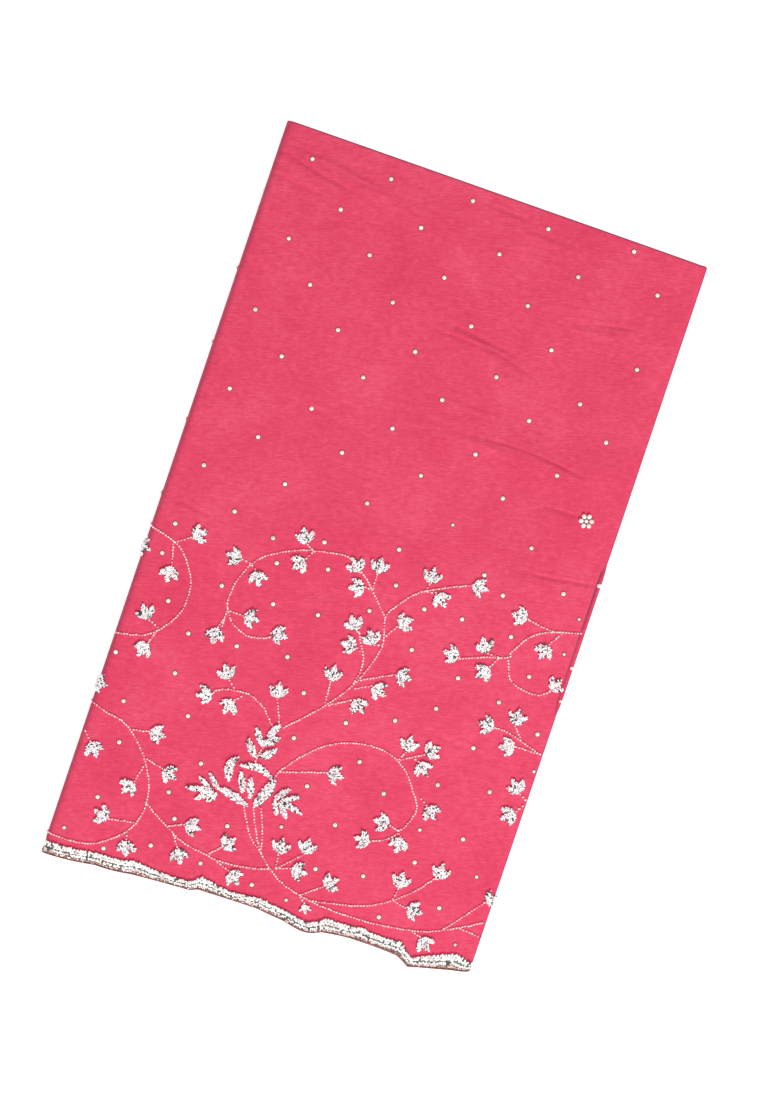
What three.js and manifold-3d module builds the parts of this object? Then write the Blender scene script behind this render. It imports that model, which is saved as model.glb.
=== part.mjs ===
// A crepe saree with bead embroidery, folded flat and lying on its back stretch. Millimetres, +Z up,
// +X to the right along the hem, +Y from the scalloped hem to the fold along the middle of the cloth.
// The origin stands under the middle of the folded saree, on the surface that it lies on.
//
// The saree is one length of cloth. It is folded in half across its width, and its length is then
// halved four times, so the last fold runs down the left side and inner folds stack up on the right.
import * as THREE from "three";
import { mergeVertices } from "three/addons/utils/BufferGeometryUtils.js";
import Module from "manifold-3d";

// ---------------------------------------------------------------------------------------------
// Driving dimensions
// ---------------------------------------------------------------------------------------------
const SAREE_LENGTH = 5500;
const LENGTH_HALVINGS = 4;
const FOLD_WIDTH = SAREE_LENGTH / 2 ** LENGTH_HALVINGS;
const LEFT_DEPTH = 598; // fold to hem along the left side; half of the cloth's 1170 mm and some skew
const FOLD_SKEW = 4.6; // how far the upper fold runs down towards the right

const WALL = 1.2; // cloth with its backing threads and beads, as a wall
const SEAM_GAP = 0.3;

const CREST = 20; // height of the stack under its middle
const SIDE_FALL = 1.5; // how much lower the two sides lie
const FOLD_FALL = 1.2; // how much lower the upper fold lies
const HEM_FALL = 5.5; // cloth edges pack closer than folds do, so the hem lies lowest
const HEM_FALL_FROM = 0.15; // share of the half depth at which the fall to the hem begins

const ROLL = 1.5; // radius of the small rolls at the upper and right folds
const LEFT_ROLL_OUT = 6; // how far the last fold stands out to the left
const LEFT_ROLL_CLEAR = 0.8; // the last fold's cloth stays this far above the surface below
const ROLL_TURN = THREE.MathUtils.degToRad(150); // angle that a roll turns through, over and under
const CORNER_DRAW = 0.7; // a corner stands out this share of what its two sides do
const CUT_DRAW = 0.3; // share of the wall by which each face draws in at a cut edge

const LEAF_DROP = WALL + SEAM_GAP; // from one stretch's face to the next one's, inside the stack
const EDGE_DROP = 2 * ROLL + 0.2; // the same at a rolled edge
const EDGE_FLAT = 5; // width of the band along a rolled edge that keeps that drop
const EDGE_BLEND = 12; // distance from the edge at which the drop has gone back to LEAF_DROP

const BORDER_HEIGHT = 1.5; // thickness of the beaded edging
const PAD_RISE = 1.2; // how far the bead flowers and leaves stand up
const PAD_ROOT = 0.5; // how deep they are bedded in the wall
const PAD_TAPER = 0.8; // size of a pad's top against its foot

const TOP_COLUMNS = 27; // squares of cloth across the top stretch

// The embroidery and the hem are charted on squares, counted from the upper left corner:
// columns run to the right, rows run down to the hem.
const SQUARE = 7.75;
const toX = (column) => column * SQUARE - FOLD_WIDTH / 2;
const toY = (row) => LEFT_DEPTH / 2 - row * SQUARE;
const toColumn = (x) => (x + FOLD_WIDTH / 2) / SQUARE;

/** Turns rows of values into objects with the named columns. */
function table(columns, rows) {
  return rows.map((row) => Object.fromEntries(columns.map((name, i) => [name, row[i]])));
}

// The scalloped hem, knot by knot: the row of the edging's inner line and of the cloth's edge, and how
// far each hangs below its chord half way to the next knot.
const SCALLOPS = table(["column", "inner", "innerBelly", "edge", "edgeBelly"], [
  [0.0, 76.0, 0.15, 77.2, 0.12],
  [5.3, 75.5, 0.2, 76.7, 0.1],
  [9.1, 75.05, 0.2, 76.4, -0.02],
  [15.0, 75.25, 0.0, 76.05, 0.02],
  [15.9, 74.4, 0.4, 75.7, -0.02],
  [22.1, 74.6, 0.08, 75.6, 0.02],
  [25.0, 74.95, 0.05, 75.95, 0.04],
  [27.0, 75.4, 0.25, 76.35, 0.16],
  [29.0, 74.4, 0.12, 75.8, -0.05],
  [32.8, 74.15, 0.2, 75.4, -0.05],
  [36.9, 74.2, 0.05, 75.55, -0.03],
  [38.3, 75.4, -0.05, 76.3, 0.0],
  [42.6, 73.6, 0.1, 75.25, 0.05],
  [44.5, 74.0, 0.0, 74.8, 0.0],
]);

// Where the next stretch shows past the top one, first and last chart line and how far it stands out.
const RIGHT_PEEK = { from: 31.5, to: 48, top: 2.3, next: 0.7 };
const HEM_PEEKS = table(["from", "to", "out"], [
  [14, 26, 1.7],
  [30, 41, 2.0],
]);
const HEM_TUCK = 1.0; // how far the next stretch's hem stays back elsewhere

// Long soft ridges of the top stretch: middle, heading in degrees, half length, half width, rise.
const RIDGES = table(["column", "row", "turn", "length", "width", "rise"], [
  [8, 3.5, -12, 70, 16, 0.9],
  [33, 24, 2, 90, 17, 0.8],
  [12, 40, 20, 60, 20, 0.6],
  [37, 33, -80, 110, 18, 0.7],
  [20, 14, -8, 80, 20, 0.5],
]);

// Hidden leaves from the top one down: how far each stands out at the right, upper fold and hem.
const LEAVES = table(["right", "fold", "hem"], [
  [0.4, 0.2, 1.5],
  [-0.5, 0.8, -0.4],
  [0.9, -0.3, 1.9],
  [0.1, 0.6, 0.4],
  [-0.8, 1.0, -1.2],
  [0.7, 0.1, 0.9],
  [0.2, 0.7, 2.2],
]);
const LEAF_GROOVE = 1.2; // depth of the groove between two leaves
const CORE_INSET = { right: 3.2, fold: 3.0, hem: 5.0 };
const CORE_CLEAR = 0.7; // room between the leaves and the last fold that wraps them
const CORNER_FADE = 30; // length over which the leaves draw back from the last fold's two corners
const SECOND_LEFT_INSET = 21; // the next stretch ends this far inside the last fold

// Bead flowers, each of three pointed petals: middle, and the way that it opens in degrees.
const FLOWERS = table(["column", "row", "turn"], [
  [4.7, 42.0, 40], [3.1, 46.7, 270], [8.7, 43.0, 180], [11.6, 44.3, 300],
  [14.8, 38.8, 120], [15.1, 41.6, 235], [20.5, 39.9, 135], [22.8, 39.2, 90],
  [21.3, 42.0, 205], [28.1, 38.5, 90], [29.7, 40.5, 320], [27.0, 43.8, 45],
  [22.2, 45.5, 130], [24.3, 46.3, 125], [22.4, 47.7, 180], [33.0, 38.1, 0],
  [37.7, 39.5, 180], [35.3, 43.4, 125], [32.4, 45.3, 180], [36.0, 46.0, 235],
  [41.1, 42.1, 255], [2.1, 51.1, 130], [3.0, 54.7, 250], [12.3, 48.3, 0],
  [9.4, 51.1, 270], [11.7, 54.2, 125], [10.3, 57.0, 205], [13.0, 57.4, 250],
  [15.5, 49.0, 0], [21.8, 50.9, 90], [28.6, 49.0, 0], [26.7, 51.1, 340],
  [25.3, 53.2, 320], [17.2, 54.3, 100], [40.7, 49.2, 90], [38.0, 50.9, 180],
  [40.7, 52.3, 200], [31.3, 55.2, 90], [33.7, 55.1, 45], [33.4, 57.1, 320],
  [42.6, 55.8, 135], [42.3, 58.8, 225], [7.1, 62.3, 0], [1.7, 65.8, 310],
  [9.5, 65.7, 340], [6.0, 68.3, 240], [25.3, 60.5, 0], [22.4, 69.0, 90],
  [24.9, 68.2, 90], [35.6, 61.0, 320], [31.2, 63.5, 180], [29.9, 65.8, 180],
  [33.5, 65.1, 270], [38.4, 66.3, 90], [34.9, 68.4, 90], [4.6, 71.8, 165],
  [7.75, 74.15, 285], [13.4, 70.0, 0], [13.0, 73.2, 300], [17.3, 70.4, 50],
  [18.9, 73.5, 325], [24.9, 70.8, 0], [28.3, 70.9, 45], [37.1, 70.9, 0],
  [39.2, 73.7, 320],
]);

// The lotus and its leaf sprays: foot and tip of each leaf, and its width.
const LEAF_PADS = table(["column", "row", "tipColumn", "tipRow", "width"], [
  [14.6, 65.6, 11.5, 66.3, 0.7], [14.4, 65.3, 12.5, 64.9, 0.7], [14.6, 65.1, 13.5, 64.2, 0.7],
  [14.2, 66.0, 12.8, 67.3, 0.7], [14.8, 66.0, 14.0, 67.1, 0.7],
  [20.2, 64.5, 21.3, 63.2, 0.7], [20.5, 64.7, 22.5, 63.9, 0.7], [20.5, 65.1, 23.3, 65.3, 0.7],
  [20.4, 65.0, 22.0, 66.3, 0.7], [20.2, 65.1, 20.8, 66.3, 0.7],
  [17.3, 61.3, 16.0, 59.8, 0.7], [17.4, 61.3, 18.7, 60.2, 0.7], [17.5, 59.8, 16.4, 58.6, 0.7],
  [17.7, 59.9, 18.8, 58.9, 0.7], [17.9, 59.0, 18.4, 57.5, 0.6],
  [15.6, 62.5, 17.4, 62.0, 0.6], [17.5, 62.0, 19.3, 62.9, 0.6], [15.4, 61.8, 14.7, 63.3, 0.8],
  [14.7, 63.2, 15.1, 64.6, 0.8], [16.4, 63.3, 17.0, 65.4, 0.7], [17.5, 63.5, 18.0, 65.7, 0.7],
  [19.7, 62.8, 18.6, 66.2, 1.0], [14.8, 65.3, 17.7, 66.5, 0.7],
]);
const ROSETTE = { column: 40.95, row: 28.4, radius: 0.75, sides: 8 };

// ---------------------------------------------------------------------------------------------
// Heights and edges of the stack
// ---------------------------------------------------------------------------------------------
const { lerp, smoothstep } = THREE.MathUtils;

/** Height of the smooth top of the stack. */
function stackHeight(x, y) {
  const side = Math.abs(x) / (FOLD_WIDTH / 2);
  const along = y / (LEFT_DEPTH / 2);
  const hem = smoothstep(HEM_FALL_FROM - along, 0, 1 + HEM_FALL_FROM);
  return CREST - SIDE_FALL * side ** 4 - FOLD_FALL * Math.max(along, 0) ** 4 - HEM_FALL * hem;
}

/** Rise of the soft ridges that run through the top stretch. */
function ridgeRise(x, y) {
  return RIDGES.reduce((sum, { column, row, turn, length, width, rise }) => {
    const angle = THREE.MathUtils.degToRad(turn);
    const dx = x - toX(column);
    const dy = y - toY(row);
    const along = (dx * Math.cos(angle) + dy * Math.sin(angle)) / length;
    const aside = (dy * Math.cos(angle) - dx * Math.sin(angle)) / width;
    return sum + rise * Math.exp(-(along ** 2) - aside ** 2);
  }, 0);
}

const topHeight = (x, y) => stackHeight(x, y) + ridgeRise(x, y);

/** A scalloped line at x: its knots are joined by chords that hang down between them. */
function scalloped(x, level, belly) {
  const column = THREE.MathUtils.clamp(toColumn(x), SCALLOPS[0].column, SCALLOPS.at(-1).column);
  const next = Math.max(1, SCALLOPS.findIndex((knot) => knot.column >= column));
  const [from, to] = [SCALLOPS[next - 1], SCALLOPS[next]];
  const share = (column - from.column) / (to.column - from.column);
  return toY(lerp(from[level], to[level], share) + from[belly] * Math.sin(Math.PI * share));
}

const hemEdge = (x) => scalloped(x, "edge", "edgeBelly");
const borderInner = (x) => scalloped(x, "inner", "innerBelly");
const foldEdge = (x) => LEFT_DEPTH / 2 - FOLD_SKEW * (x / FOLD_WIDTH + 0.5);

/** A smooth hump between two chart lines, 0 outside them and 1 through the middle. */
function hump(line, from, to) {
  const rim = (to - from) / 4;
  return smoothstep(line, from, from + rim) * (1 - smoothstep(line, to - rim, to));
}

const rightPeek = (y) => hump((LEFT_DEPTH / 2 - y) / SQUARE, RIGHT_PEEK.from, RIGHT_PEEK.to);

/** Extra drop of a lower face along the two rolled edges, 1 at the edge and 0 inside. */
function edgeShare(x, y, right) {
  const distance = Math.min(right - x, foldEdge(x) - ROLL - y);
  return 1 - smoothstep(distance, EDGE_FLAT, EDGE_BLEND);
}

// ---------------------------------------------------------------------------------------------
// Cloth as a closed wall
// ---------------------------------------------------------------------------------------------

/** Evenly spaced shares from 0 to 1, with extra lines close to the two ends. */
function gridLines(count, nearStart, nearEnd) {
  const lines = Array.from({ length: count + 1 }, (_, i) => i / count);
  const kept = lines.filter((line) => {
    const clearOfStart = line === 0 || line > Math.max(0, ...nearStart) + 0.3 / count;
    const clearOfEnd = line === 1 || line < Math.min(1, ...nearEnd) - 0.3 / count;
    return clearOfStart && clearOfEnd;
  });
  return [...kept, ...nearStart, ...nearEnd].sort((a, b) => a - b);
}

/** The grid's outline, counter-clockwise from the left end of the hem, with each point's side. */
function outlineOf(columns, rows) {
  const last = { i: columns - 1, j: rows - 1 };
  const outline = [];
  for (let i = 0; i < last.i; i++) outline.push({ i, j: 0, side: "hem" });
  for (let j = 0; j < last.j; j++) outline.push({ i: last.i, j, side: "right" });
  for (let i = last.i; i > 0; i--) outline.push({ i, j: last.j, side: "fold" });
  for (let j = last.j; j > 0; j--) outline.push({ i: 0, j, side: "left" });
  return outline;
}

/** Unit vectors in plan that point out of the outline at each of its points. */
function outwardNormals(points) {
  return points.map((_, k) => {
    const before = points.at(k - 1);
    const after = points[(k + 1) % points.length];
    return new THREE.Vector2(after.y - before.y, before.x - after.x).normalize();
  });
}

/** Faces of the grid's squares, facing up, or down where the order is turned round. */
function gridFaces(columns, rows, first, turned) {
  const faces = [];
  const at = (i, j) => first + j * columns + i;
  for (let j = 0; j + 1 < rows; j++) {
    for (let i = 0; i + 1 < columns; i++) {
      const [a, b, c, d] = [at(i, j), at(i + 1, j), at(i + 1, j + 1), at(i, j + 1)];
      faces.push(...(turned ? [a, c, b, a, d, c] : [a, b, c, a, c, d]));
    }
  }
  return faces;
}

/** Faces of a band between two closed rings of vertex numbers, the first one above or inside. */
function bandFaces(upper, lower) {
  return upper.flatMap((_, k) => {
    const next = (k + 1) % upper.length;
    return [upper[k], lower[k], lower[next], upper[k], lower[next], upper[next]];
  });
}

function geometryOf(points, faces) {
  const geometry = new THREE.BufferGeometry().setFromPoints(points);
  geometry.setIndex(faces);
  return geometry;
}

/** A roll of cloth at an edge: offsets out and down of its outer and inner face at one step. */
function rollOffsets(share, reach, fall) {
  const angle = ROLL_TURN * share;
  return {
    outer: { out: reach * Math.sin(angle), down: fall * (1 - Math.cos(angle)) },
    inner: {
      out: (reach - WALL) * Math.sin(angle),
      down: WALL + (fall - WALL) * (1 - Math.cos(angle)),
    },
  };
}

/** A cut edge of cloth: the two faces draw together a little. */
function cutOffsets(share) {
  const draw = CUT_DRAW * WALL * share;
  return { outer: { out: draw, down: draw }, inner: { out: draw, down: WALL - draw } };
}

/**
 * A stretch of cloth as one closed wall. The grid holds its shoulder points, and from its outline the
 * edge is carried on in steps: rolled over and under along a fold, or just drawn together at a hem.
 */
function clothWall({ acrossLines, alongLines, place, height, edge, steps }) {
  const columns = acrossLines.length;
  const rows = alongLines.length;
  const plan = alongLines.flatMap((v) => acrossLines.map((u) => place(u, v)));
  const outer = plan.map(({ x, y }) => new THREE.Vector3(x, y, height(x, y)));
  const inner = outer.map((point) => point.clone().setZ(point.z - WALL));
  const outline = outlineOf(columns, rows).map((spot) => ({ ...spot, at: spot.j * columns + spot.i }));
  const normals = outwardNormals(outline.map(({ at }) => plan[at]));

  const points = [...outer, ...inner];
  const rings = {
    outer: [outline.map(({ at }) => at)],
    inner: [outline.map(({ at }) => at + outer.length)],
  };
  for (let step = 1; step <= steps; step++) {
    for (const face of ["outer", "inner"]) {
      const ring = outline.map((spot, k) => {
        const previous = outline.at(k - 1).side;
        const offsetOf = (side) => edge(side, step / steps, outer[spot.at])[face];
        const [one, other] = [offsetOf(spot.side), offsetOf(previous)];
        const out = ((one.out + other.out) / 2) * (spot.side === previous ? 1 : CORNER_DRAW);
        const down = (one.down + other.down) / 2;
        const base = outer[spot.at];
        points.push(
          new THREE.Vector3(base.x + normals[k].x * out, base.y + normals[k].y * out, base.z - down),
        );
        return points.length - 1;
      });
      rings[face].push(ring);
    }
  }

  const faces = [
    ...gridFaces(columns, rows, 0, false),
    ...gridFaces(columns, rows, outer.length, true),
    ...bandFaces(rings.outer[steps], rings.inner[steps]),
  ];
  for (let step = 0; step < steps; step++) {
    faces.push(...bandFaces(rings.outer[step], rings.outer[step + 1]));
    faces.push(...bandFaces(rings.inner[step + 1], rings.inner[step]));
  }
  return geometryOf(points, faces);
}

// ---------------------------------------------------------------------------------------------
// The stretches of the saree
// ---------------------------------------------------------------------------------------------

/** The top stretch, wrapped down the left side by the last fold. */
function topStretch() {
  const left = -FOLD_WIDTH / 2 + LEFT_ROLL_OUT;
  const right = FOLD_WIDTH / 2 - ROLL;
  return clothWall({
    acrossLines: gridLines(TOP_COLUMNS, [], []),
    alongLines: gridLines(20, [0.012], [0.985]),
    steps: 4,
    height: topHeight,
    place: (u, v) => {
      const flatX = lerp(left, right, u);
      const y = lerp(hemEdge(flatX), foldEdge(flatX) - ROLL, v);
      return new THREE.Vector2(lerp(left, right - RIGHT_PEEK.top * rightPeek(y), u), y);
    },
    edge: (side, share, base) => {
      if (side === "hem") return cutOffsets(share);
      if (side === "left") return rollOffsets(share, LEFT_ROLL_OUT, (base.z - LEFT_ROLL_CLEAR) / 2);
      return rollOffsets(share, ROLL, ROLL);
    },
  });
}

/** The next stretch, seen past the top one along the right fold and under the hem. */
function secondStretch() {
  const left = -FOLD_WIDTH / 2 + SECOND_LEFT_INSET;
  const right = FOLD_WIDTH / 2 - ROLL;
  const nearEnd = (span) => [1 - EDGE_BLEND / span, 1 - EDGE_FLAT / span];
  const hem = (x) => {
    const column = toColumn(x);
    const out = HEM_PEEKS.reduce((sum, peek) => sum + peek.out * hump(column, peek.from, peek.to), 0);
    return hemEdge(x) + HEM_TUCK - out;
  };
  return clothWall({
    acrossLines: gridLines(14, [], nearEnd(right - left)),
    alongLines: gridLines(14, [], nearEnd(LEFT_DEPTH)),
    steps: 3,
    height: (x, y) => {
      const drop = lerp(LEAF_DROP, EDGE_DROP, edgeShare(x, y, right));
      return stackHeight(x, y) - drop;
    },
    place: (u, v) => {
      const flatX = lerp(left, right, u);
      const y = lerp(hem(flatX), foldEdge(flatX) - ROLL, v);
      return new THREE.Vector2(lerp(left, right + RIGHT_PEEK.next * rightPeek(y), u), y);
    },
    edge: (side, share) => {
      if (side === "hem" || side === "left") return cutOffsets(share);
      return rollOffsets(share, ROLL, ROLL);
    },
  });
}

/** The hidden leaves as one solid: flat below, grooved between its leaves, smooth under the last fold. */
function foldedLayers() {
  const left = -FOLD_WIDTH / 2 + LEFT_ROLL_OUT;
  const right = FOLD_WIDTH / 2 - CORE_INSET.right;
  const acrossLines = gridLines(12, [], [1 - EDGE_BLEND / FOLD_WIDTH, 1 - EDGE_FLAT / FOLD_WIDTH]);
  const alongLines = gridLines(16, [], [1 - EDGE_BLEND / LEFT_DEPTH, 1 - EDGE_FLAT / LEFT_DEPTH]);
  const columns = acrossLines.length;
  const rows = alongLines.length;
  const top = alongLines.flatMap((v) =>
    acrossLines.map((u) => {
      const x = lerp(left, right, u);
      const y = lerp(hemEdge(x) + CORE_INSET.hem, foldEdge(x) - CORE_INSET.fold, v);
      const drop = lerp(2 * LEAF_DROP, 2 * EDGE_DROP, edgeShare(x, y, right));
      return new THREE.Vector3(x, y, stackHeight(x, y) - drop);
    }),
  );
  const outline = outlineOf(columns, rows).map((spot) => ({ ...spot, at: spot.j * columns + spot.i }));
  const normals = outwardNormals(outline.map(({ at }) => top[at]));

  const leafOut = (side, leaf) => LEAVES[THREE.MathUtils.clamp(leaf, 0, LEAVES.length - 1)][side];
  const outAt = (side, level, z, base) => {
    if (side === "left") {
      const middle = (stackHeight(base.x, base.y) + LEFT_ROLL_CLEAR) / 2;
      const tall = middle - LEFT_ROLL_CLEAR - WALL - CORE_CLEAR;
      const fromCorner = Math.min(foldEdge(base.x) - base.y, base.y - hemEdge(base.x)) - CORE_INSET.fold;
      const wide = (LEFT_ROLL_OUT - WALL - CORE_CLEAR) * smoothstep(fromCorner, 0, CORNER_FADE);
      return wide * Math.sqrt(Math.max(0, 1 - ((z - middle) / tall) ** 2));
    }
    const leaf = Math.floor(level / 3);
    const inGroove = level % 3 === 0;
    if (!inGroove) return leafOut(side, leaf);
    return Math.min(leafOut(side, leaf), leafOut(side, leaf - 1)) - LEAF_GROOVE;
  };

  const points = [...top];
  const rings = [outline.map(({ at }) => at)];
  const leafShares = [0, 0.28, 0.72]; // groove, then the two shoulders of the leaf's round edge
  const levels = 3 * LEAVES.length;
  for (let level = 1; level <= levels; level++) {
    const share = (Math.floor(level / 3) + leafShares[level % 3]) / LEAVES.length;
    const ring = outline.map((spot, k) => {
      const base = top[spot.at];
      const z = base.z * (1 - share);
      const previous = outline.at(k - 1).side;
      const out = (outAt(spot.side, level, z, base) + outAt(previous, level, z, base)) / 2;
      points.push(new THREE.Vector3(base.x + normals[k].x * out, base.y + normals[k].y * out, z));
      return points.length - 1;
    });
    rings.push(ring);
  }
  const middle = points.push(new THREE.Vector3(0, 0, 0)) - 1;
  const base = rings.at(-1);
  const faces = gridFaces(columns, rows, 0, false);
  for (let level = 0; level < levels; level++) faces.push(...bandFaces(rings[level], rings[level + 1]));
  base.forEach((at, k) => faces.push(middle, base[(k + 1) % base.length], at));
  return geometryOf(points, faces);
}

/** The beaded edging, made from the top stretch's own points along the hem and moved out from them. */
function hemBorder() {
  const left = -FOLD_WIDTH / 2 + LEFT_ROLL_OUT;
  const right = FOLD_WIDTH / 2 - ROLL;
  const columns = 2 * TOP_COLUMNS;
  const across = Array.from({ length: columns + 1 }, (_, i) => lerp(left, right, i / columns));
  // Lines of the band's cross-section: share of the way from the cloth's edge to the inner line, rise.
  const section = table(["share", "rise"], [
    [0.1, 0],
    [0.06, 0.6],
    [0.3, 1],
    [0.75, 0.95],
    [1, 0.5],
    [1, 0],
  ]);
  const points = across.flatMap((x) =>
    section.map(({ share, rise }) => {
      const y = lerp(hemEdge(x), borderInner(x), share);
      return new THREE.Vector3(x, y, topHeight(x, y) + SEAM_GAP + BORDER_HEIGHT * rise);
    }),
  );
  const ring = (i) => section.map((_, k) => i * section.length + k);
  const faces = [];
  for (let i = 0; i < columns; i++) faces.push(...bandFaces(ring(i), ring(i + 1)));
  const cap = (i, turned) => {
    const [first, ...rest] = ring(i);
    for (let k = 0; k + 1 < rest.length; k++) {
      faces.push(...(turned ? [first, rest[k + 1], rest[k]] : [first, rest[k], rest[k + 1]]));
    }
  };
  cap(0, false);
  cap(columns, true);
  return geometryOf(points, faces);
}

// ---------------------------------------------------------------------------------------------
// Raised embroidery
// ---------------------------------------------------------------------------------------------

/** A low pad with the given plan outline in squares, set at a chart place and turned. */
function pad(outline, column, row, turn) {
  const angle = THREE.MathUtils.degToRad(turn);
  const corner = ([ahead, aside], size, rise) => {
    const dx = size * SQUARE * (ahead * Math.cos(angle) - aside * Math.sin(angle));
    const dy = size * SQUARE * (ahead * Math.sin(angle) + aside * Math.cos(angle));
    const x = toX(column) + dx;
    const y = toY(row) + dy;
    return new THREE.Vector3(x, y, topHeight(x, y) + rise);
  };
  const foot = outline.map((spot) => corner(spot, 1, -PAD_ROOT));
  const crown = outline.map((spot) => corner(spot, PAD_TAPER, PAD_RISE));
  const points = [...foot, ...crown, corner([0, 0], 1, -PAD_ROOT), corner([0, 0], 1, PAD_RISE)];
  const [footMiddle, crownMiddle] = [points.length - 2, points.length - 1];
  const lower = foot.map((_, k) => k);
  const upper = lower.map((k) => k + foot.length);
  const faces = bandFaces(upper, lower);
  lower.forEach((k) => {
    const next = (k + 1) % foot.length;
    faces.push(footMiddle, next, k, crownMiddle, upper[k], upper[next]);
  });
  return geometryOf(points, faces);
}

// Half of a flower's outline from its foot to the tip of its middle petal, and the same mirrored.
const FLOWER_HALF = [
  [-0.75, 0],
  [-0.3, -0.5],
  [0.5, -0.95],
  [0.25, -0.3],
];
const FLOWER_OUTLINE = [
  ...FLOWER_HALF,
  [0.95, 0],
  ...FLOWER_HALF.slice(1).reverse().map(([ahead, aside]) => [ahead, -aside]),
];

/** A leaf pad between its foot and its tip. */
function leafPad({ column, row, tipColumn, tipRow, width }) {
  const ahead = tipColumn - column;
  const up = row - tipRow;
  const half = Math.hypot(ahead, up) / 2;
  const outline = [[-half, 0], [-0.2 * half, -width / 2], [half, 0], [-0.2 * half, width / 2]];
  const turn = THREE.MathUtils.radToDeg(Math.atan2(up, ahead));
  return pad(outline, (column + tipColumn) / 2, (row + tipRow) / 2, turn);
}

/** The rosette of round beads, as one round pad. */
function rosettePad() {
  const outline = Array.from({ length: ROSETTE.sides }, (_, k) => {
    const angle = (2 * Math.PI * k) / ROSETTE.sides;
    return [ROSETTE.radius * Math.cos(angle), ROSETTE.radius * Math.sin(angle)];
  });
  return pad(outline, ROSETTE.column, ROSETTE.row, 0);
}

const wasm = await Module();
wasm.setup();

/** A closed geometry as a solid that can be joined with others. */
function solidOf(geometry) {
  const bare = geometry.clone();
  bare.deleteAttribute("normal");
  bare.deleteAttribute("uv");
  const merged = mergeVertices(bare);
  const vertProperties = new Float32Array(merged.attributes.position.array);
  const triVerts = new Uint32Array(merged.index.array);
  return new wasm.Manifold(new wasm.Mesh({ numProp: 3, vertProperties, triVerts }));
}

/** The top stretch with its flowers, leaves and rosette joined to its outer face. */
function embroideredTop() {
  const pads = [
    ...FLOWERS.map(({ column, row, turn }) => pad(FLOWER_OUTLINE, column, row, turn)),
    ...LEAF_PADS.map(leafPad),
    rosettePad(),
  ];
  const joined = pads.reduce((solid, geometry) => solid.add(solidOf(geometry)), solidOf(topStretch()));
  const { numProp, vertProperties, triVerts } = joined.getMesh();
  const geometry = new THREE.BufferGeometry();
  geometry.setAttribute("position", new THREE.BufferAttribute(vertProperties, numProp));
  geometry.setIndex(new THREE.BufferAttribute(triVerts, 1));
  return geometry;
}

// ---------------------------------------------------------------------------------------------
// The folded saree
// ---------------------------------------------------------------------------------------------
const CREPE = { color: 0xe74e6d, roughness: 0.85, metalness: 0 };
const CREPE_SHADED = { color: 0xd64463, roughness: 0.88, metalness: 0 };
const BEADWORK = { color: 0xd9d3c7, roughness: 0.35, metalness: 0.3 };

function piece(name, geometry, finish) {
  const mesh = new THREE.Mesh(geometry, new THREE.MeshStandardMaterial(finish));
  mesh.name = name;
  return mesh;
}

const saree = new THREE.Group();
saree.add(
  piece("top_stretch", embroideredTop(), CREPE),
  piece("second_stretch", secondStretch(), CREPE),
  piece("folded_layers", foldedLayers(), CREPE_SHADED),
  piece("hem_border", hemBorder(), BEADWORK),
);

// The saree stands on its flat underside, with the origin below the middle of its box.
const box = new THREE.Box3().setFromObject(saree);
const centre = box.getCenter(new THREE.Vector3());
saree.position.set(-centre.x, -centre.y, -box.min.z);

export default saree;
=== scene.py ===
"""A crepe saree with bead embroidery, folded flat and lying on its back stretch.

The cloth, its beads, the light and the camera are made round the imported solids. The saree's own sizes
are in millimetres, counted from the middle of its fold, and each mesh is made in metres in the frame.
"""
import logging
import math
from dataclasses import dataclass, field
from enum import Enum
from functools import cache, cached_property
from typing import Any, Callable

import bpy
import numpy as np
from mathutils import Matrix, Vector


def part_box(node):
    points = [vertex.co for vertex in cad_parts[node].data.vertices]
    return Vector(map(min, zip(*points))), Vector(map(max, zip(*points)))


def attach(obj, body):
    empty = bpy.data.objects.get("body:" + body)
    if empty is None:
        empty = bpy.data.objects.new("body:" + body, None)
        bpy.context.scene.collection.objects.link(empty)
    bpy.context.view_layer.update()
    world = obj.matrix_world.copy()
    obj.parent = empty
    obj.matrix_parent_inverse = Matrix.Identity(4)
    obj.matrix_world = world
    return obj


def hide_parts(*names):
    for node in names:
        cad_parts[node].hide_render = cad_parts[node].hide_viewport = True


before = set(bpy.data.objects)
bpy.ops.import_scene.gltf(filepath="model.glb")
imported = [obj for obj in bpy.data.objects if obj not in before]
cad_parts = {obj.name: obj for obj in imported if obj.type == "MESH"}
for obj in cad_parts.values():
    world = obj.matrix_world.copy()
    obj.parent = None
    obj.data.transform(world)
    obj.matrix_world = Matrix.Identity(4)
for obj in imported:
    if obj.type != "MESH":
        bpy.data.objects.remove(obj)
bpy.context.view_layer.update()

log = logging.getLogger("saree")

MM = 0.001
BODY = "root"
BEAD_LENGTHS = (0.8, 1.15)  # shortest and longest bead of a string, as shares of its usual length
SHARP_TURN = math.radians(60)  # cloth and cords that turn more than this from face to face show an edge
Points = np.ndarray


def table(columns: str, rows: list[tuple]) -> np.recarray:
    """Turns rows of numbers into a table whose columns are read by name."""
    return np.rec.fromrecords([tuple(map(float, row)) for row in rows], names=columns)


# ---------------------------------------------------------------------------------------------
# Chart of the hem and the embroidery, in squares from the upper left corner: columns run to the
# right, rows run down to the hem. Squares left of column 0 lie round the last fold.
# ---------------------------------------------------------------------------------------------

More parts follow.
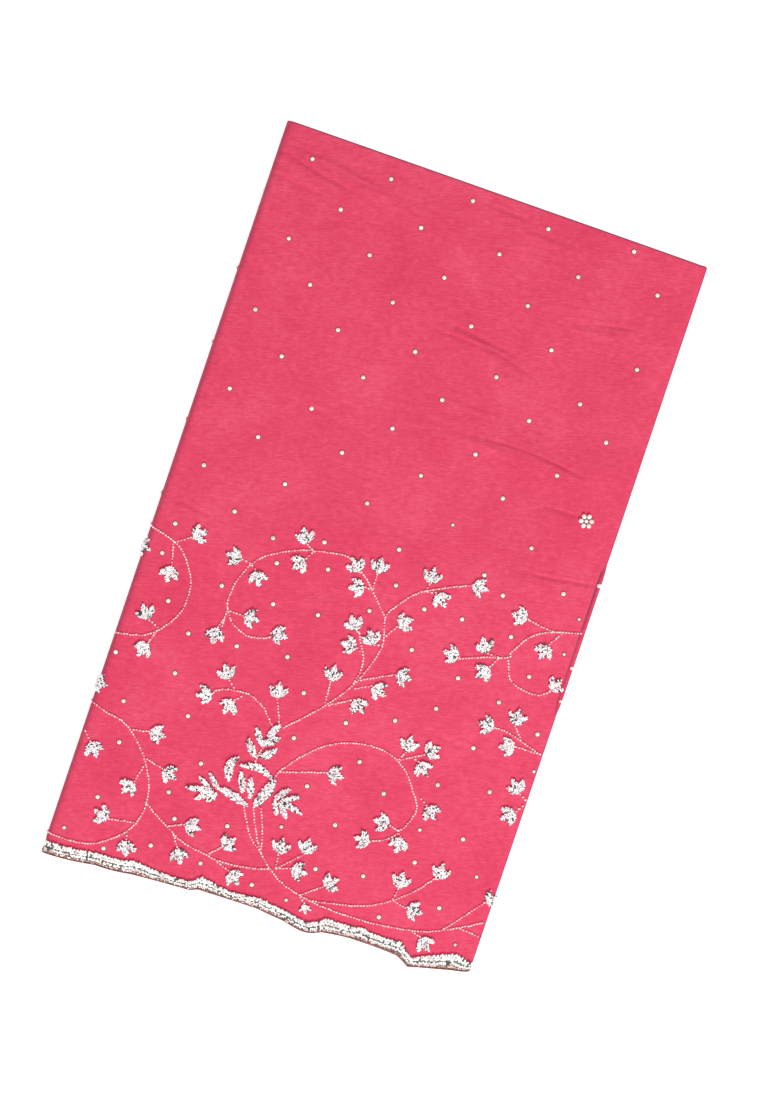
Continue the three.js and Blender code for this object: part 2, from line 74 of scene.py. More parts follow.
# The scalloped hem, knot by knot: the row of the edging's inner line and of the cloth's edge, and
# how far each hangs below its chord on the way to the next knot.
SCALLOPS = table("column, inner, inner_belly, edge, edge_belly", [
    (0.0, 76.0, 0.15, 77.2, 0.12), (5.3, 75.5, 0.2, 76.7, 0.1), (9.1, 75.05, 0.2, 76.4, -0.02),
    (15.0, 75.25, 0.0, 76.05, 0.02), (15.9, 74.4, 0.4, 75.7, -0.02), (22.1, 74.6, 0.08, 75.6, 0.02),
    (25.0, 74.95, 0.05, 75.95, 0.04), (27.0, 75.4, 0.25, 76.35, 0.16), (29.0, 74.4, 0.12, 75.8, -0.05),
    (32.8, 74.15, 0.2, 75.4, -0.05), (36.9, 74.2, 0.05, 75.55, -0.03), (38.3, 75.4, -0.05, 76.3, 0.0),
    (42.6, 73.6, 0.1, 75.25, 0.05), (44.5, 74.0, 0.0, 74.8, 0.0),
])

# Long soft ridges of the top stretch: middle, heading in degrees, half length, half width, rise.
RIDGES = table("column, row, turn, length, width, rise", [
    (8, 3.5, -12, 70, 16, 0.9), (33, 24, 2, 90, 17, 0.8), (12, 40, 20, 60, 20, 0.6),
    (37, 33, -80, 110, 18, 0.7), (20, 14, -8, 80, 20, 0.5),
])

# Creases pressed into the cloth: the two ends, how far it bows aside, depth (a ridge where it is
# below zero) and half width, the last three in millimetres.
CREASES = table("column, row, end_column, end_row, bow, depth, width", [
    (-0.8, 2.6, 9.4, 4.8, -2.2, 0.8, 1.4), (4.3, 2.7, 12.0, 3.9, -1.6, 0.6, 1.4),
    (2.4, 2.3, 14.5, 4.9, 2.0, -0.6, 3.0), (-1.5, 5.0, 6.5, 5.9, -1.5, 0.4, 1.8),
    (-0.2, 1.9, 5.5, 2.5, -0.6, 0.4, 1.4), (11.0, 1.3, 17.5, 2.6, 1.0, 0.3, 2.0),
    (20.5, 1.5, 26.8, 1.9, 0.4, 0.6, 1.3), (24.0, 2.8, 32.0, 3.3, -0.8, -0.45, 2.4),
    (34.6, 9.8, 40.0, 8.7, 0.5, 0.65, 1.3), (33.0, 10.6, 38.5, 10.0, -0.6, -0.4, 2.2),
    (20.6, 13.9, 29.8, 15.2, 0.6, 0.35, 1.4), (21.0, 14.6, 29.0, 15.6, 1.0, -0.6, 2.2),
    (20.6, 15.1, 28.4, 15.5, 0.7, 0.55, 1.2), (25.6, 15.1, 31.8, 16.7, 0.9, 0.6, 1.3),
    (26.5, 16.5, 31.0, 17.2, -0.5, 0.3, 1.4), (23.6, 21.5, 31.0, 21.6, 0.5, -0.3, 1.6),
    (27.4, 23.9, 34.4, 23.8, 0.9, 0.7, 1.2), (33.0, 23.7, 39.6, 24.5, 0.6, 0.95, 1.3),
    (25.0, 24.5, 33.0, 24.8, 0.8, -0.45, 2.4), (36.2, 28.4, 40.6, 28.3, 0.3, 0.6, 1.2),
    (35.6, 35.4, 44.8, 34.1, -0.8, 0.65, 1.4), (0.6, 39.4, 5.0, 40.1, 0.4, 0.55, 1.3),
    (36.3, 17.0, 36.1, 35.0, 1.5, 0.4, 4.4), (8.0, 26.0, 17.0, 26.9, -1.5, 0.3, 2.2),
    (-2.0, 33.0, 4.5, 34.1, 1.0, 0.4, 2.0), (12.0, 47.0, 24.0, 44.6, 2.5, 0.3, 3.0),
    (30.5, 53.2, 43.0, 54.6, 1.0, 0.35, 2.2), (-2.0, 56.5, 7.5, 57.6, -1.0, 0.35, 2.0),
    (22.0, 64.8, 33.0, 66.4, 1.5, 0.3, 2.8), (-2.3, 12.0, 1.4, 20.0, 2.0, 0.6, 3.4),
    (-2.4, 24.5, 1.0, 29.0, -1.2, 0.55, 3.2), (-2.4, 44.0, 0.9, 50.5, 1.4, 0.6, 3.4),
    (-2.3, 61.0, 1.0, 66.0, -1.0, 0.55, 3.2),
])

# Hidden leaves from the top one down: how far each stands out at the right, upper fold and hem.
LEAVES = table("right, fold, hem", [
    (0.4, 0.2, 1.5), (-0.5, 0.8, -0.4), (0.9, -0.3, 1.9), (0.1, 0.6, 0.4), (-0.8, 1.0, -1.2),
    (0.7, 0.1, 0.9), (0.2, 0.7, 2.2),
])

# Where the next stretch's hem shows under the top one: first and last column, how far it stands out.
HEM_PEEKS = table("start, end, out", [(14, 26, 1.7), (30, 41, 2.0)])

# Bead flowers, each of three pointed petals: middle, the way that it opens in degrees, its size, and
# the square at which its stem joins the vine.
FLOWERS = table("column, row, turn, size, stem_column, stem_row", [
    (4.7, 42.0, 40, 1, 2.5, 43.6), (3.1, 46.7, 270, 1, 2.5, 43.7), (8.7, 43.0, 180, 1, 10.5, 43.1),
    (11.6, 44.3, 300, 1, 10.6, 43.2), (14.8, 38.8, 120, 1, 16.2, 40.0), (15.1, 41.6, 235, 1, 16.0, 40.1),
    (20.5, 39.9, 135, 1, 21.3, 40.5), (22.8, 39.2, 90, 1, 22.9, 41.7), (21.3, 42.0, 205, 1, 22.9, 41.8),
    (28.1, 38.5, 90, 1, 28.0, 40.2), (29.7, 40.5, 320, 1, 28.1, 40.2), (27.0, 43.8, 45, 1, 25.6, 45.7),
    (22.2, 45.5, 130, 1, 23.0, 46.2), (24.3, 46.3, 125, 1, 25.6, 46.6), (22.4, 47.7, 180, 1, 24.1, 48.2),
    (33.0, 38.1, 0, 1, 32.2, 38.1), (37.7, 39.5, 180, 1, 38.7, 39.6), (35.3, 43.4, 125, 1, 37.0, 44.1),
    (32.4, 45.3, 180, 1, 33.3, 45.5), (36.0, 46.0, 235, 1, 37.0, 44.2), (41.1, 42.1, 255, 1, 42.4, 39.6),
    (43.3, 44.9, 60, 0.9, 43.0, 45.7), (2.1, 51.1, 130, 1, 3.8, 52.2), (3.0, 54.7, 250, 1, 3.8, 52.4),
    (12.3, 48.3, 0, 1, 10.0, 48.3), (9.4, 51.1, 270, 1, 9.75, 49.0), (11.7, 54.2, 125, 1, 12.9, 55.5),
    (10.3, 57.0, 205, 1, 11.2, 56.3), (13.0, 57.4, 250, 1, 13.9, 56.0), (15.5, 49.0, 0, 1, 14.7, 49.5),
    (21.8, 50.9, 90, 1, 22.0, 54.0), (28.6, 49.0, 0, 1, 24.6, 50.7), (26.7, 51.1, 340, 1, 24.3, 51.7),
    (25.3, 53.2, 320, 1, 22.4, 54.1), (17.2, 54.3, 100, 1, 18.4, 57.6), (40.7, 49.2, 90, 1, 41.8, 51.3),
    (38.0, 50.9, 180, 1, 38.9, 50.9), (40.7, 52.3, 200, 1, 44.1, 52.0), (31.3, 55.2, 90, 1, 30.8, 57.0),
    (33.7, 55.1, 45, 1, 30.9, 57.0), (33.4, 57.1, 320, 1, 32.3, 56.4), (42.8, 55.8, 135, 1, 44.2, 56.8),
    (43.0, 58.8, 225, 1, 44.1, 57.4), (7.1, 62.3, 0, 1, 4.6, 62.7), (1.5, 65.8, 310, 1, 0.1, 64.3),
    (9.5, 65.7, 340, 1, 6.8, 65.0), (6.0, 68.3, 240, 1, 6.8, 65.8), (25.3, 60.5, 0, 1, 19.9, 62.0),
    (22.4, 69.0, 90, 1, 22.6, 71.3), (24.9, 68.2, 90, 1, 22.6, 71.3), (35.6, 61.0, 320, 1, 34.1, 60.0),
    (31.2, 63.5, 180, 1, 33.0, 63.8), (29.9, 65.8, 180, 1, 30.6, 65.7), (33.5, 65.1, 270, 1, 33.1, 64.0),
    (38.4, 66.3, 90, 1, 38.0, 67.2), (34.9, 68.4, 90, 1, 34.7, 70.5), (44.1, 67.3, 45, 0.9, 40.5, 71.7),
    (4.35, 71.75, 165, 1, 8.0, 71.4), (7.75, 74.15, 285, 1, 7.3, 72.5), (13.4, 70.0, 0, 1, 11.1, 70.7),
    (13.0, 73.2, 300, 1, 11.8, 71.3), (17.3, 70.4, 50, 1, 15.8, 72.0), (18.9, 73.5, 325, 1, 16.8, 72.5),
    (24.9, 70.8, 0, 1, 22.6, 71.3), (28.3, 70.9, 45, 1, 25.7, 73.1), (26.7, 74.15, 290, 0.58, 25.8, 73.2),
    (37.1, 70.9, 0, 1, 34.9, 70.6), (39.2, 73.7, 320, 1, 37.5, 72.9), (-0.3, 44.9, 350, 1, -1.6, 45.6),
    (-0.1, 59.3, 0, 1, -1.4, 59.4),
])

# The lotus and its leaf sprays: foot and tip of each leaf, its width, and how far it bows to the left
# of the way from foot to tip.
LEAF_SHAPES = table("column, row, tip_column, tip_row, width, bow", [
    (14.4, 66.0, 11.4, 66.4, 0.7, -0.05), (14.0, 65.8, 12.4, 65.0, 0.55, 0.0),
    (14.7, 65.7, 13.3, 64.3, 0.66, 0.0), (14.2, 66.0, 12.7, 67.3, 0.72, 0.0),
    (14.6, 66.0, 13.9, 67.1, 0.75, 0.0), (20.3, 64.8, 21.5, 63.3, 0.75, 0.1),
    (20.9, 64.7, 22.6, 63.7, 0.62, 0.0), (21.0, 64.7, 23.4, 65.3, 0.66, 0.0),
    (20.8, 64.8, 22.0, 66.2, 0.68, 0.0), (20.3, 64.7, 20.95, 66.2, 0.7, 0.0),
    (17.2, 61.4, 15.9, 59.8, 0.85, 0.12), (17.4, 61.3, 18.9, 59.9, 0.85, -0.12),
    (17.5, 60.2, 16.3, 58.5, 0.7, 0.0), (17.2, 60.0, 18.9, 58.7, 0.85, 0.0),
    (17.6, 59.2, 18.5, 57.4, 0.75, 0.0), (19.6, 63.0, 15.9, 62.6, 0.8, -0.5),
    (15.5, 61.8, 15.35, 64.5, 1.0, -0.45), (16.2, 63.2, 17.0, 65.2, 0.85, 0.05),
    (17.35, 63.3, 17.95, 65.5, 0.72, 0.0), (18.5, 66.2, 19.7, 62.7, 1.1, -0.15),
    (18.0, 66.3, 14.5, 65.5, 0.9, -0.15),
])

# Vines of single beads, each a smooth line through these squares.
VINES: list[list[tuple[float, float]]] = [
    [(-2.0, 42.2), (0, 42.8), (3.2, 43.8), (5.2, 46.3), (5.6, 48.4), (5.2, 50.5), (3.2, 53.0), (0, 54.0),
     (-2.0, 54.2)],
    [(25.0, 44.0), (22.8, 41.7), (21.4, 40.5), (19.6, 39.4), (17.5, 39.6), (15.0, 40.2), (12.5, 41.4),
     (10.8, 42.8), (9.8, 45.0), (9.5, 47.0), (9.7, 48.0), (10.5, 49.2), (11.5, 49.8), (12.6, 50.1),
     (13.8, 49.9), (14.7, 49.5)],
    [(9.7, 48.0), (9.8, 50.0)],
    [(18.8, 57.7), (20.6, 55.9), (22.2, 54.1), (23.9, 51.7), (25.0, 49.2), (25.6, 46.6), (25.0, 44.0),
     (25.6, 42.6), (27.3, 40.6), (30.0, 39.1), (32.2, 38.1)],
    [(24.0, 51.6), (24.3, 50.0), (24.2, 48.5), (23.3, 46.9), (23.0, 46.2)],
    [(17.9, 58.0), (17.2, 57.3), (16.3, 56.4), (14.5, 55.6), (12.4, 55.8), (11.2, 56.3)],
    [(19.6, 62.8), (19.9, 61.9), (21.5, 59.8), (23.8, 57.8), (26.8, 56.7), (29.5, 56.7), (31.6, 57.7),
     (33.2, 59.6), (34.1, 61.2), (33.6, 63.1), (33.0, 63.8)],
    [(33.1, 64.0), (32.7, 64.5), (31.8, 65.2), (30.6, 65.7)],
    [(44.4, 39.1), (43.0, 39.5), (41.0, 40.1), (39.3, 41.2), (38.1, 43.1), (37.9, 43.8), (35.5, 44.6),
     (33.3, 45.5)],
    [(42.0, 39.8), (40.8, 39.9), (38.7, 39.6)],
    [(38.0, 44.0), (38.7, 45.7), (40.2, 46.4), (42.0, 46.4), (43.0, 45.7)],
    [(44.1, 52.0), (41.7, 51.3), (40.0, 50.9), (38.9, 50.9)],
    [(44.2, 56.8), (43.7, 56.5)],
    [(44.1, 57.4), (43.7, 57.9)],
    [(-2.0, 61.0), (0, 61.4), (1.7, 61.9), (3.8, 62.4), (6.3, 64.6), (7.8, 67.2), (8.25, 69.3),
     (8.05, 71.0), (7.3, 72.5), (6.1, 73.7), (4.6, 74.7), (2.7, 75.2), (0, 75.2), (-2.0, 75.0)],
    [(8.1, 69.1), (9.5, 70.0), (11.2, 70.9), (13.0, 71.8), (15.5, 72.2), (17.0, 72.4), (20.0, 72.1),
     (22.2, 71.5)],
    [(20.7, 70.3), (22.2, 71.6), (24.3, 72.7), (28.0, 73.4), (33.3, 73.4), (38.5, 72.6), (42.0, 71.0),
     (44.1, 69.8)],
    [(26.8, 73.3), (29.2, 72.8), (32.0, 72.1), (34.3, 70.9), (35.8, 69.7), (36.9, 68.6), (38.0, 67.2)],
    [(42.0, 71.1), (44.4, 71.3)],
    [(17.6, 66.4), (19.0, 68.8), (20.7, 70.3)],
    [(18.5, 66.1), (19.6, 68.5), (20.7, 70.3)],
    [(19.3, 66.0), (20.2, 68.3), (20.7, 70.3)],
    [(17.3, 62.1), (17.3, 61.2), (17.6, 59.9), (18.0, 58.7), (18.4, 57.6)],
]

# Single dots, and how large each is.
DOTS = table("column, row, size", [
    (3.4, 2.8, 1), (11.5, 2.2, 1), (19.95, 1.65, 1), (28.0, 1.9, 1), (36.85, 1.3, 1), (7.7, 6.7, 1),
    (15.9, 5.86, 1), (24.16, 5.86, 1), (32.37, 5.5, 1), (40.47, 4.7, 1), (3.7, 11.1, 1), (11.9, 10.1, 1),
    (19.7, 9.85, 1), (28.5, 9.85, 1), (7.2, 14.8, 1), (15.6, 13.85, 1), (23.8, 13.6, 1), (32.15, 13.3, 1),
    (40.9, 12.4, 1), (2.8, 18.9, 1), (11.3, 18.2, 1), (19.3, 17.8, 1), (27.8, 17.6, 1), (36.6, 17.5, 1),
    (6.8, 22.5, 1), (15.2, 21.9, 1), (23.4, 21.5, 1), (32.3, 20.7, 1), (40.3, 20.3, 1), (2.9, 27.2, 1),
    (11.3, 26.5, 1), (19.6, 25.8, 1), (28.3, 25.6, 1), (36.7, 25.0, 1), (7.15, 30.9, 1), (15.6, 29.7, 1),
    (23.8, 29.35, 1), (32.3, 28.9, 1), (2.9, 35.3, 1), (11.2, 34.5, 1), (19.6, 33.7, 1), (28.4, 33.0, 0.7),
    (36.6, 32.7, 1), (7.3, 38.7, 1), (11.8, 40.0, 1), (16.8, 38.75, 1), (24.1, 37.05, 1), (33.0, 36.75, 1),
    (35.4, 38.1, 1), (41.1, 36.0, 1), (43.4, 37.9, 0.7), (2.05, 41.75, 1), (12.95, 42.25, 1),
    (1.75, 44.95, 1), (8.45, 46.15, 1), (13.9, 46.25, 1), (24.95, 40.55, 1), (18.0, 41.2, 1),
    (28.4, 41.9, 1), (23.25, 43.8, 1), (18.5, 45.85, 1), (28.5, 46.15, 1), (32.3, 41.65, 1),
    (37.5, 41.75, 1), (43.1, 41.7, 0.7), (40.5, 44.95, 1), (33.8, 47.35, 1), (38.45, 48.35, 1),
    (3.85, 49.3, 1), (6.8, 51.75, 1), (11.8, 51.4, 1), (16.95, 50.8, 1), (19.65, 53.7, 1),
    (32.7, 50.95, 1), (43.15, 50.15, 1), (29.2, 53.4, 1), (37.5, 53.5, 1), (44.0, 53.8, 0.7),
    (24.6, 55.2, 1), (0.5, 55.85, 1), (6.8, 55.95, 1), (40.45, 57.15, 1), (35.3, 58.15, 1),
    (20.15, 58.3, 1), (27.15, 58.45, 1), (9.4, 59.6, 1), (2.8, 60.25, 1), (30.45, 60.7, 1),
    (22.95, 62.45, 1), (39.45, 62.5, 1), (35.05, 63.0, 0.8), (12.15, 63.7, 1), (3.7, 64.3, 1),
    (26.85, 65.25, 1), (41.95, 65.65, 0.8), (35.6, 66.25, 1), (21.8, 67.15, 0.8), (10.0, 67.45, 1),
    (16.65, 68.8, 1), (31.15, 69.2, 1), (39.4, 69.8, 1), (11.4, 69.8, 1), (26.4, 70.05, 1),
    (3.4, 70.2, 1), (33.95, 72.6, 1), (42.1, 72.8, 0.7), (10.0, 73.1, 1), (15.3, 73.2, 1),
    (20.85, 73.6, 1), (24.6, 73.95, 0.8), (1.2, 74.2, 0.8), (5.6, 74.9, 1),
    (-0.6, 7.2, 1), (-1.0, 15.4, 1), (-1.2, 23.2, 1), (-1.0, 31.4, 1), (-0.8, 39.2, 1),
])

# Dots of the next stretch that peep out along the right fold.
EDGE_DOTS = table("column, row, size", [(44.25, 34.1, 1.0), (44.3, 42.8, 0.8), (44.3, 46.3, 0.7)])


def smoothstep(value: Points, low: float, high: float) -> Points:
    """A soft step from 0 at low to 1 at high."""
    share = np.clip((value - low) / (high - low), 0, 1)
    return share * share * (3 - 2 * share)


def mix(start: Any, end: Any, share: Any) -> Any:
    """The value at a share of the way from start to end."""
    return start + (end - start) * share


# ---------------------------------------------------------------------------------------------
# The form of the folded saree
# ---------------------------------------------------------------------------------------------
@dataclass(frozen=True)
class FoldedSaree:
    """Heights and edges of the folded stack, worked out from the cloth's size and its folds."""

    cloth_length: float = 5500.0
    length_halvings: int = 4
    left_depth: float = 598.0  # fold to hem along the left side
    fold_skew: float = 4.6  # how far the upper fold runs down towards the right
    fold_out: float = 1.4  # how far it stands out beyond the chart at the left
    crest: float = 20.0
    side_fall: float = 1.5
    fold_fall: float = 1.2
    hem_fall: float = 5.5
    hem_fall_from: float = 0.15
    roll: float = 1.5  # radius of the small rolls at the upper and right folds
    left_roll_out: float = 6.0
    left_roll_clear: float = 0.8
    leaf_drop: float = 1.5
    edge_drop: float = 3.2
    edge_flat: float = 5.0
    edge_blend: float = 12.0
    square: float = 7.75
    peek_from: float = 31.5  # rows between which the next stretch shows at the right
    peek_to: float = 48.0
    peek_rim: float = 1.5  # rows over which it comes and goes
    crease_fade: float = 8.0  # creases die out this close to a rolled edge
    crease_taper: float = 0.8  # the less, the longer a crease keeps its depth
    crease_ridge: float = 0.55  # height of the ridge beside a crease, as a share of its depth
    crease_ridge_at: float = 1.9  # how far aside that ridge lies, in half widths of the crease
    crease_shade_width: float = 2.0  # half width at which a crease is too soft to get a painted shade line
    crease_shade_fall: float = 1.4  # the more, the finer the painted shade line
    band_columns: int = 54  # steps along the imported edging
    band_lip: float = 0.06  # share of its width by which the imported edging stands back

    @cached_property
    def fold_width(self) -> float:
        """Width of the folded saree."""
        return self.cloth_length / 2**self.length_halvings

    @cached_property
    def left_shoulder(self) -> float:
        """Where the cloth begins to turn over the last fold."""
        return -self.fold_width / 2 + self.left_roll_out

    @cached_property
    def right_shoulder(self) -> float:
        """Where the cloth begins to turn over the inner folds on the right."""
        return self.fold_width / 2 - self.roll

    def x_of(self, column: Any) -> Any:
        """Place across of a chart column."""
        return column * self.square - self.fold_width / 2

    def y_of(self, row: Any) -> Any:
        """Place along of a chart row."""
        return self.left_depth / 2 - row * self.square

    def stack_height(self, x: Points, y: Points) -> Points:
        """Height of the smooth top of the stack."""
        side = np.abs(x) / (self.fold_width / 2)
        along = y / (self.left_depth / 2)
        hem = smoothstep(self.hem_fall_from - along, 0, 1 + self.hem_fall_from)
        fold = self.fold_fall * np.maximum(along, 0) ** 4
        return self.crest - self.side_fall * side**4 - fold - self.hem_fall * hem

    def ridge_rise(self, x: Points, y: Points) -> Points:
        """Rise of the long soft ridges of the top stretch."""
        rise = np.zeros(np.broadcast(x, y).shape)
        for ridge in RIDGES:
            angle = math.radians(ridge.turn)
            dx, dy = x - self.x_of(ridge.column), y - self.y_of(ridge.row)
            along = (dx * math.cos(angle) + dy * math.sin(angle)) / ridge.length
            aside = (dy * math.cos(angle) - dx * math.sin(angle)) / ridge.width
            rise += ridge.rise * np.exp(-(along**2) - aside**2)
        return rise

    def creases(self, x: Points, y: Points) -> tuple[Points, Points]:
        """The pressed creases, each a soft trough with a lower ridge along one side.

        Args:
            x: places across.
            y: places along.

        Returns:
            The depth below the smooth cloth at each place, and how strongly painted shade darkens a crease's
            trough there.
        """
        depth, line = np.zeros((2, *np.broadcast(x, y).shape))
        for crease in CREASES:
            start = np.array([self.x_of(crease.column), self.y_of(crease.row)])
            end = np.array([self.x_of(crease.end_column), self.y_of(crease.end_row)])
            length = np.linalg.norm(end - start)
            ahead = (end - start) / length
            dx, dy = x - start[0], y - start[1]
            share = np.clip((dx * ahead[0] + dy * ahead[1]) / length, 0, 1)
            taper = np.sin(np.pi * share)
            aside = (dy * ahead[0] - dx * ahead[1] - crease.bow * taper) / crease.width
            beside = np.exp(-((aside - self.crease_ridge_at) ** 2))
            strength = crease.depth * taper**self.crease_taper
            depth += strength * (np.exp(-(aside**2)) - self.crease_ridge * beside)
            # Painted shade: narrow creases get a dark line along their troughs.
            sharp = max(0.0, self.crease_shade_width - crease.width)
            line += sharp * np.maximum(strength, 0) * np.exp(-self.crease_shade_fall * aside**2)
        edge = np.minimum(self.right_shoulder - x, self.fold_edge(x) - y)
        fade = smoothstep(edge, 0, self.crease_fade)
        return depth * fade, line * fade

    def scalloped(self, x: Points, level: str, belly: str) -> Points:
        """A scalloped line: its knots are joined by chords that hang down between them.

        Args:
            x: places across.
            level: column of SCALLOPS that holds the line's row at each knot.
            belly: column of SCALLOPS that holds how far it hangs down.

        Returns:
            The line's place along at each x.
        """
        knots = SCALLOPS.column
        column = np.clip((x + self.fold_width / 2) / self.square, knots[0], knots[-1])
        nxt = np.clip(np.searchsorted(knots, column), 1, len(knots) - 1)
        share = (column - knots[nxt - 1]) / (knots[nxt] - knots[nxt - 1])
        rows = mix(SCALLOPS[level][nxt - 1], SCALLOPS[level][nxt], share)
        return self.y_of(rows + SCALLOPS[belly][nxt - 1] * np.sin(np.pi * share))

    def hem_edge(self, x: Points) -> Points:
        """The cut edge of the scalloped hem."""
        return self.scalloped(x, "edge", "edge_belly")

    def border_inner(self, x: Points) -> Points:
        """The inner line of the beaded edging."""
        return self.scalloped(x, "inner", "inner_belly")

    def fold_edge(self, x: Points) -> Points:
        """The upper fold, along the middle of the cloth."""
        return self.left_depth / 2 + self.fold_out - self.fold_skew * (x / self.fold_width + 0.5)

    @staticmethod
    def hump(line: Points, start: float, end: float, rim: float) -> Points:
        """A smooth hump between two chart lines, which rises and falls over its rims."""
        return smoothstep(line, start, start + rim) * (1 - smoothstep(line, end - rim, end))

    def right_peek(self, y: Points) -> Points:
        """How far the next stretch shows at the right, from 0 to 1."""
        row = (self.left_depth / 2 - y) / self.square
        return self.hump(row, self.peek_from, self.peek_to, self.peek_rim)

    def edge_share(self, x: Points, y: Points, right: float) -> Points:
        """1 along the two rolled edges, 0 well inside them."""
        distance = np.minimum(right - x, self.fold_edge(x) - self.roll - y)
        return 1 - smoothstep(distance, self.edge_flat, self.edge_blend)

    @cached_property
    def frame_shift(self) -> Points:
        """From the saree's own middle to the frame's origin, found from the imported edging's box."""
        low = np.array(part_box("hem_border")[0]) / MM
        across = np.linspace(self.left_shoulder, self.right_shoulder, self.band_columns + 1)
        lip = mix(self.hem_edge(across), self.border_inner(across), self.band_lip)
        return np.array([low[0] - across[0], low[1] - lip.min(), 0.0])

    def in_frame(self, points: Points) -> Points:
        """Points of the saree, in metres in the frame."""
        return (points + self.frame_shift) * MM


@dataclass(frozen=True)
class ClothFace:
    """The outer face of one stretch: flat between its shoulders and rolled over at its folds."""

    form: FoldedSaree
    left: float  # where the flat part begins
    left_reach: float = 0.0  # how far the fold on the left stands out, 0 for a cut edge
    left_fall: float = 8.6  # half the height of that fold, for the length of cloth in it
    left_press: float = 0.6  # 1 for a round fold, less for one pressed flat above and below
    probe: float = 0.05  # step for slopes
    core: float = 0.15  # least radius inside a roll
    arc_steps: int = 240  # steps in which the fold on the left is measured

    @cached_property
    def fold_arcs(self) -> tuple[Points, Points]:
        """Lengths of cloth over the left fold, and the angles that they reach."""
        angles = np.pi * smoothstep(np.linspace(0, 1, self.arc_steps + 1), 0, 1)
        out = self.left_reach * np.sin(angles) ** self.left_press
        steps = np.hypot(np.diff(out), np.diff(self.left_fall * np.cos(angles)))
        return np.concatenate([[0.0], np.cumsum(steps)]), angles

    def left_out(self, y: Points) -> Points:
        """How far the fold on the left stands out at each place along."""
        return self.left_reach + 0 * y

    def right(self, y: Points) -> Points:
        """Where the cloth begins to turn over on the right."""
        raise NotImplementedError

    def hem(self, x: Points) -> Points:
        """The lower cut edge."""
        raise NotImplementedError

    def height(self, x: Points, y: Points) -> Points:
        """Height of the flat part."""
        raise NotImplementedError

    def painted_crease_shade(self, x: Points, y: Points) -> Points:
        """How strongly painted shade darkens a crease's trough at each place."""
        return np.zeros(np.broadcast(x, y).shape)

    def painted_edge_shadow(self, x: Points, y: Points) -> Points:
        """How strongly the painted shadow beside a covering edge shows at each place."""
        return np.zeros(np.broadcast(x, y).shape)

    def points(self, across: Points, along: Points) -> Points:
        """Places on the cloth as points in space.

        Args:
            across: lengths of cloth across, equal to x on the flat part and counted on over the folds.
            along: lengths of cloth from the middle towards the upper fold, counted on over it.

        Returns:
            The points, with x, y and z as the last axis.
        """
        roll = self.form.roll
        right = self.right(along)
        x = np.clip(across, self.left, right)
        y = np.minimum(along, self.form.fold_edge(x) - roll)
        z = self.height(x, y)
        turn = (along - y) / roll
        angle = np.minimum(turn, np.pi)
        deep = roll * (1 - np.cos(angle))
        y = y + roll * (np.sin(angle) - (turn - angle))

        turn = np.maximum(across - right, 0) / roll
        angle = np.minimum(turn, np.pi)
        radius = np.maximum(roll - deep, self.core)
        out = radius * np.sin(angle) - (turn - angle) * roll
        down = radius * (1 - np.cos(angle))

        angle = np.interp(self.left - across, *self.fold_arcs)
        fall = (z - self.form.left_roll_clear) / 2
        out = out - (self.left_out(y) - deep**2 / (2 * roll)) * np.sin(angle) ** self.left_press
        down = down + (fall - deep) * (1 - np.cos(angle))
        return np.stack([x + out, y, z - deep - down], axis=-1)

    def axes(self, across: Points, along: Points) -> tuple[Points, Points, Points, Points]:
        """Points on the cloth with the directions across it, along it and out of it.

        Args:
            across: lengths of cloth across.
            along: lengths of cloth along.

        Returns:
            The points and the three unit directions.
        """
        step = self.probe
        u = self.points(across + step, along) - self.points(across - step, along)
        v = self.points(across, along + step) - self.points(across, along - step)
        u /= np.linalg.norm(u, axis=-1, keepdims=True)
        out = np.cross(u, v)
        out /= np.linalg.norm(out, axis=-1, keepdims=True)
        return self.points(across, along), u, np.cross(out, u), out


@dataclass(frozen=True)
class TopFace(ClothFace):
    """The stretch on top, which turns down over the last fold at its left."""

    peek: float = 2.7  # how far it draws back where the next stretch shows
    edging_from: float = 75.75  # row at which the fold draws in under the edging
    edging_in: float = 1.4
    edging_blend: float = 3.0

    def left_out(self, y: Points) -> Points:
        """How far the last fold stands out, less under the edging, whose beads then lie flush."""
        below = self.form.y_of(self.edging_from) - y
        return self.left_reach - self.edging_in * smoothstep(below, 0, self.edging_blend)

    def right(self, y: Points) -> Points:
        """Where the cloth begins to turn over on the right."""
        return self.form.right_shoulder - self.peek * self.form.right_peek(y)

    def hem(self, x: Points) -> Points:
        """The scalloped hem."""
        return self.form.hem_edge(x)

    def height(self, x: Points, y: Points) -> Points:
        """Height of the flat part, with its ridges and creases."""
        form = self.form
        return form.stack_height(x, y) + form.ridge_rise(x, y) - form.creases(x, y)[0]

    def painted_crease_shade(self, x: Points, y: Points) -> Points:
        """How strongly painted shade darkens a crease's trough at each place."""
        return self.form.creases(x, y)[1]


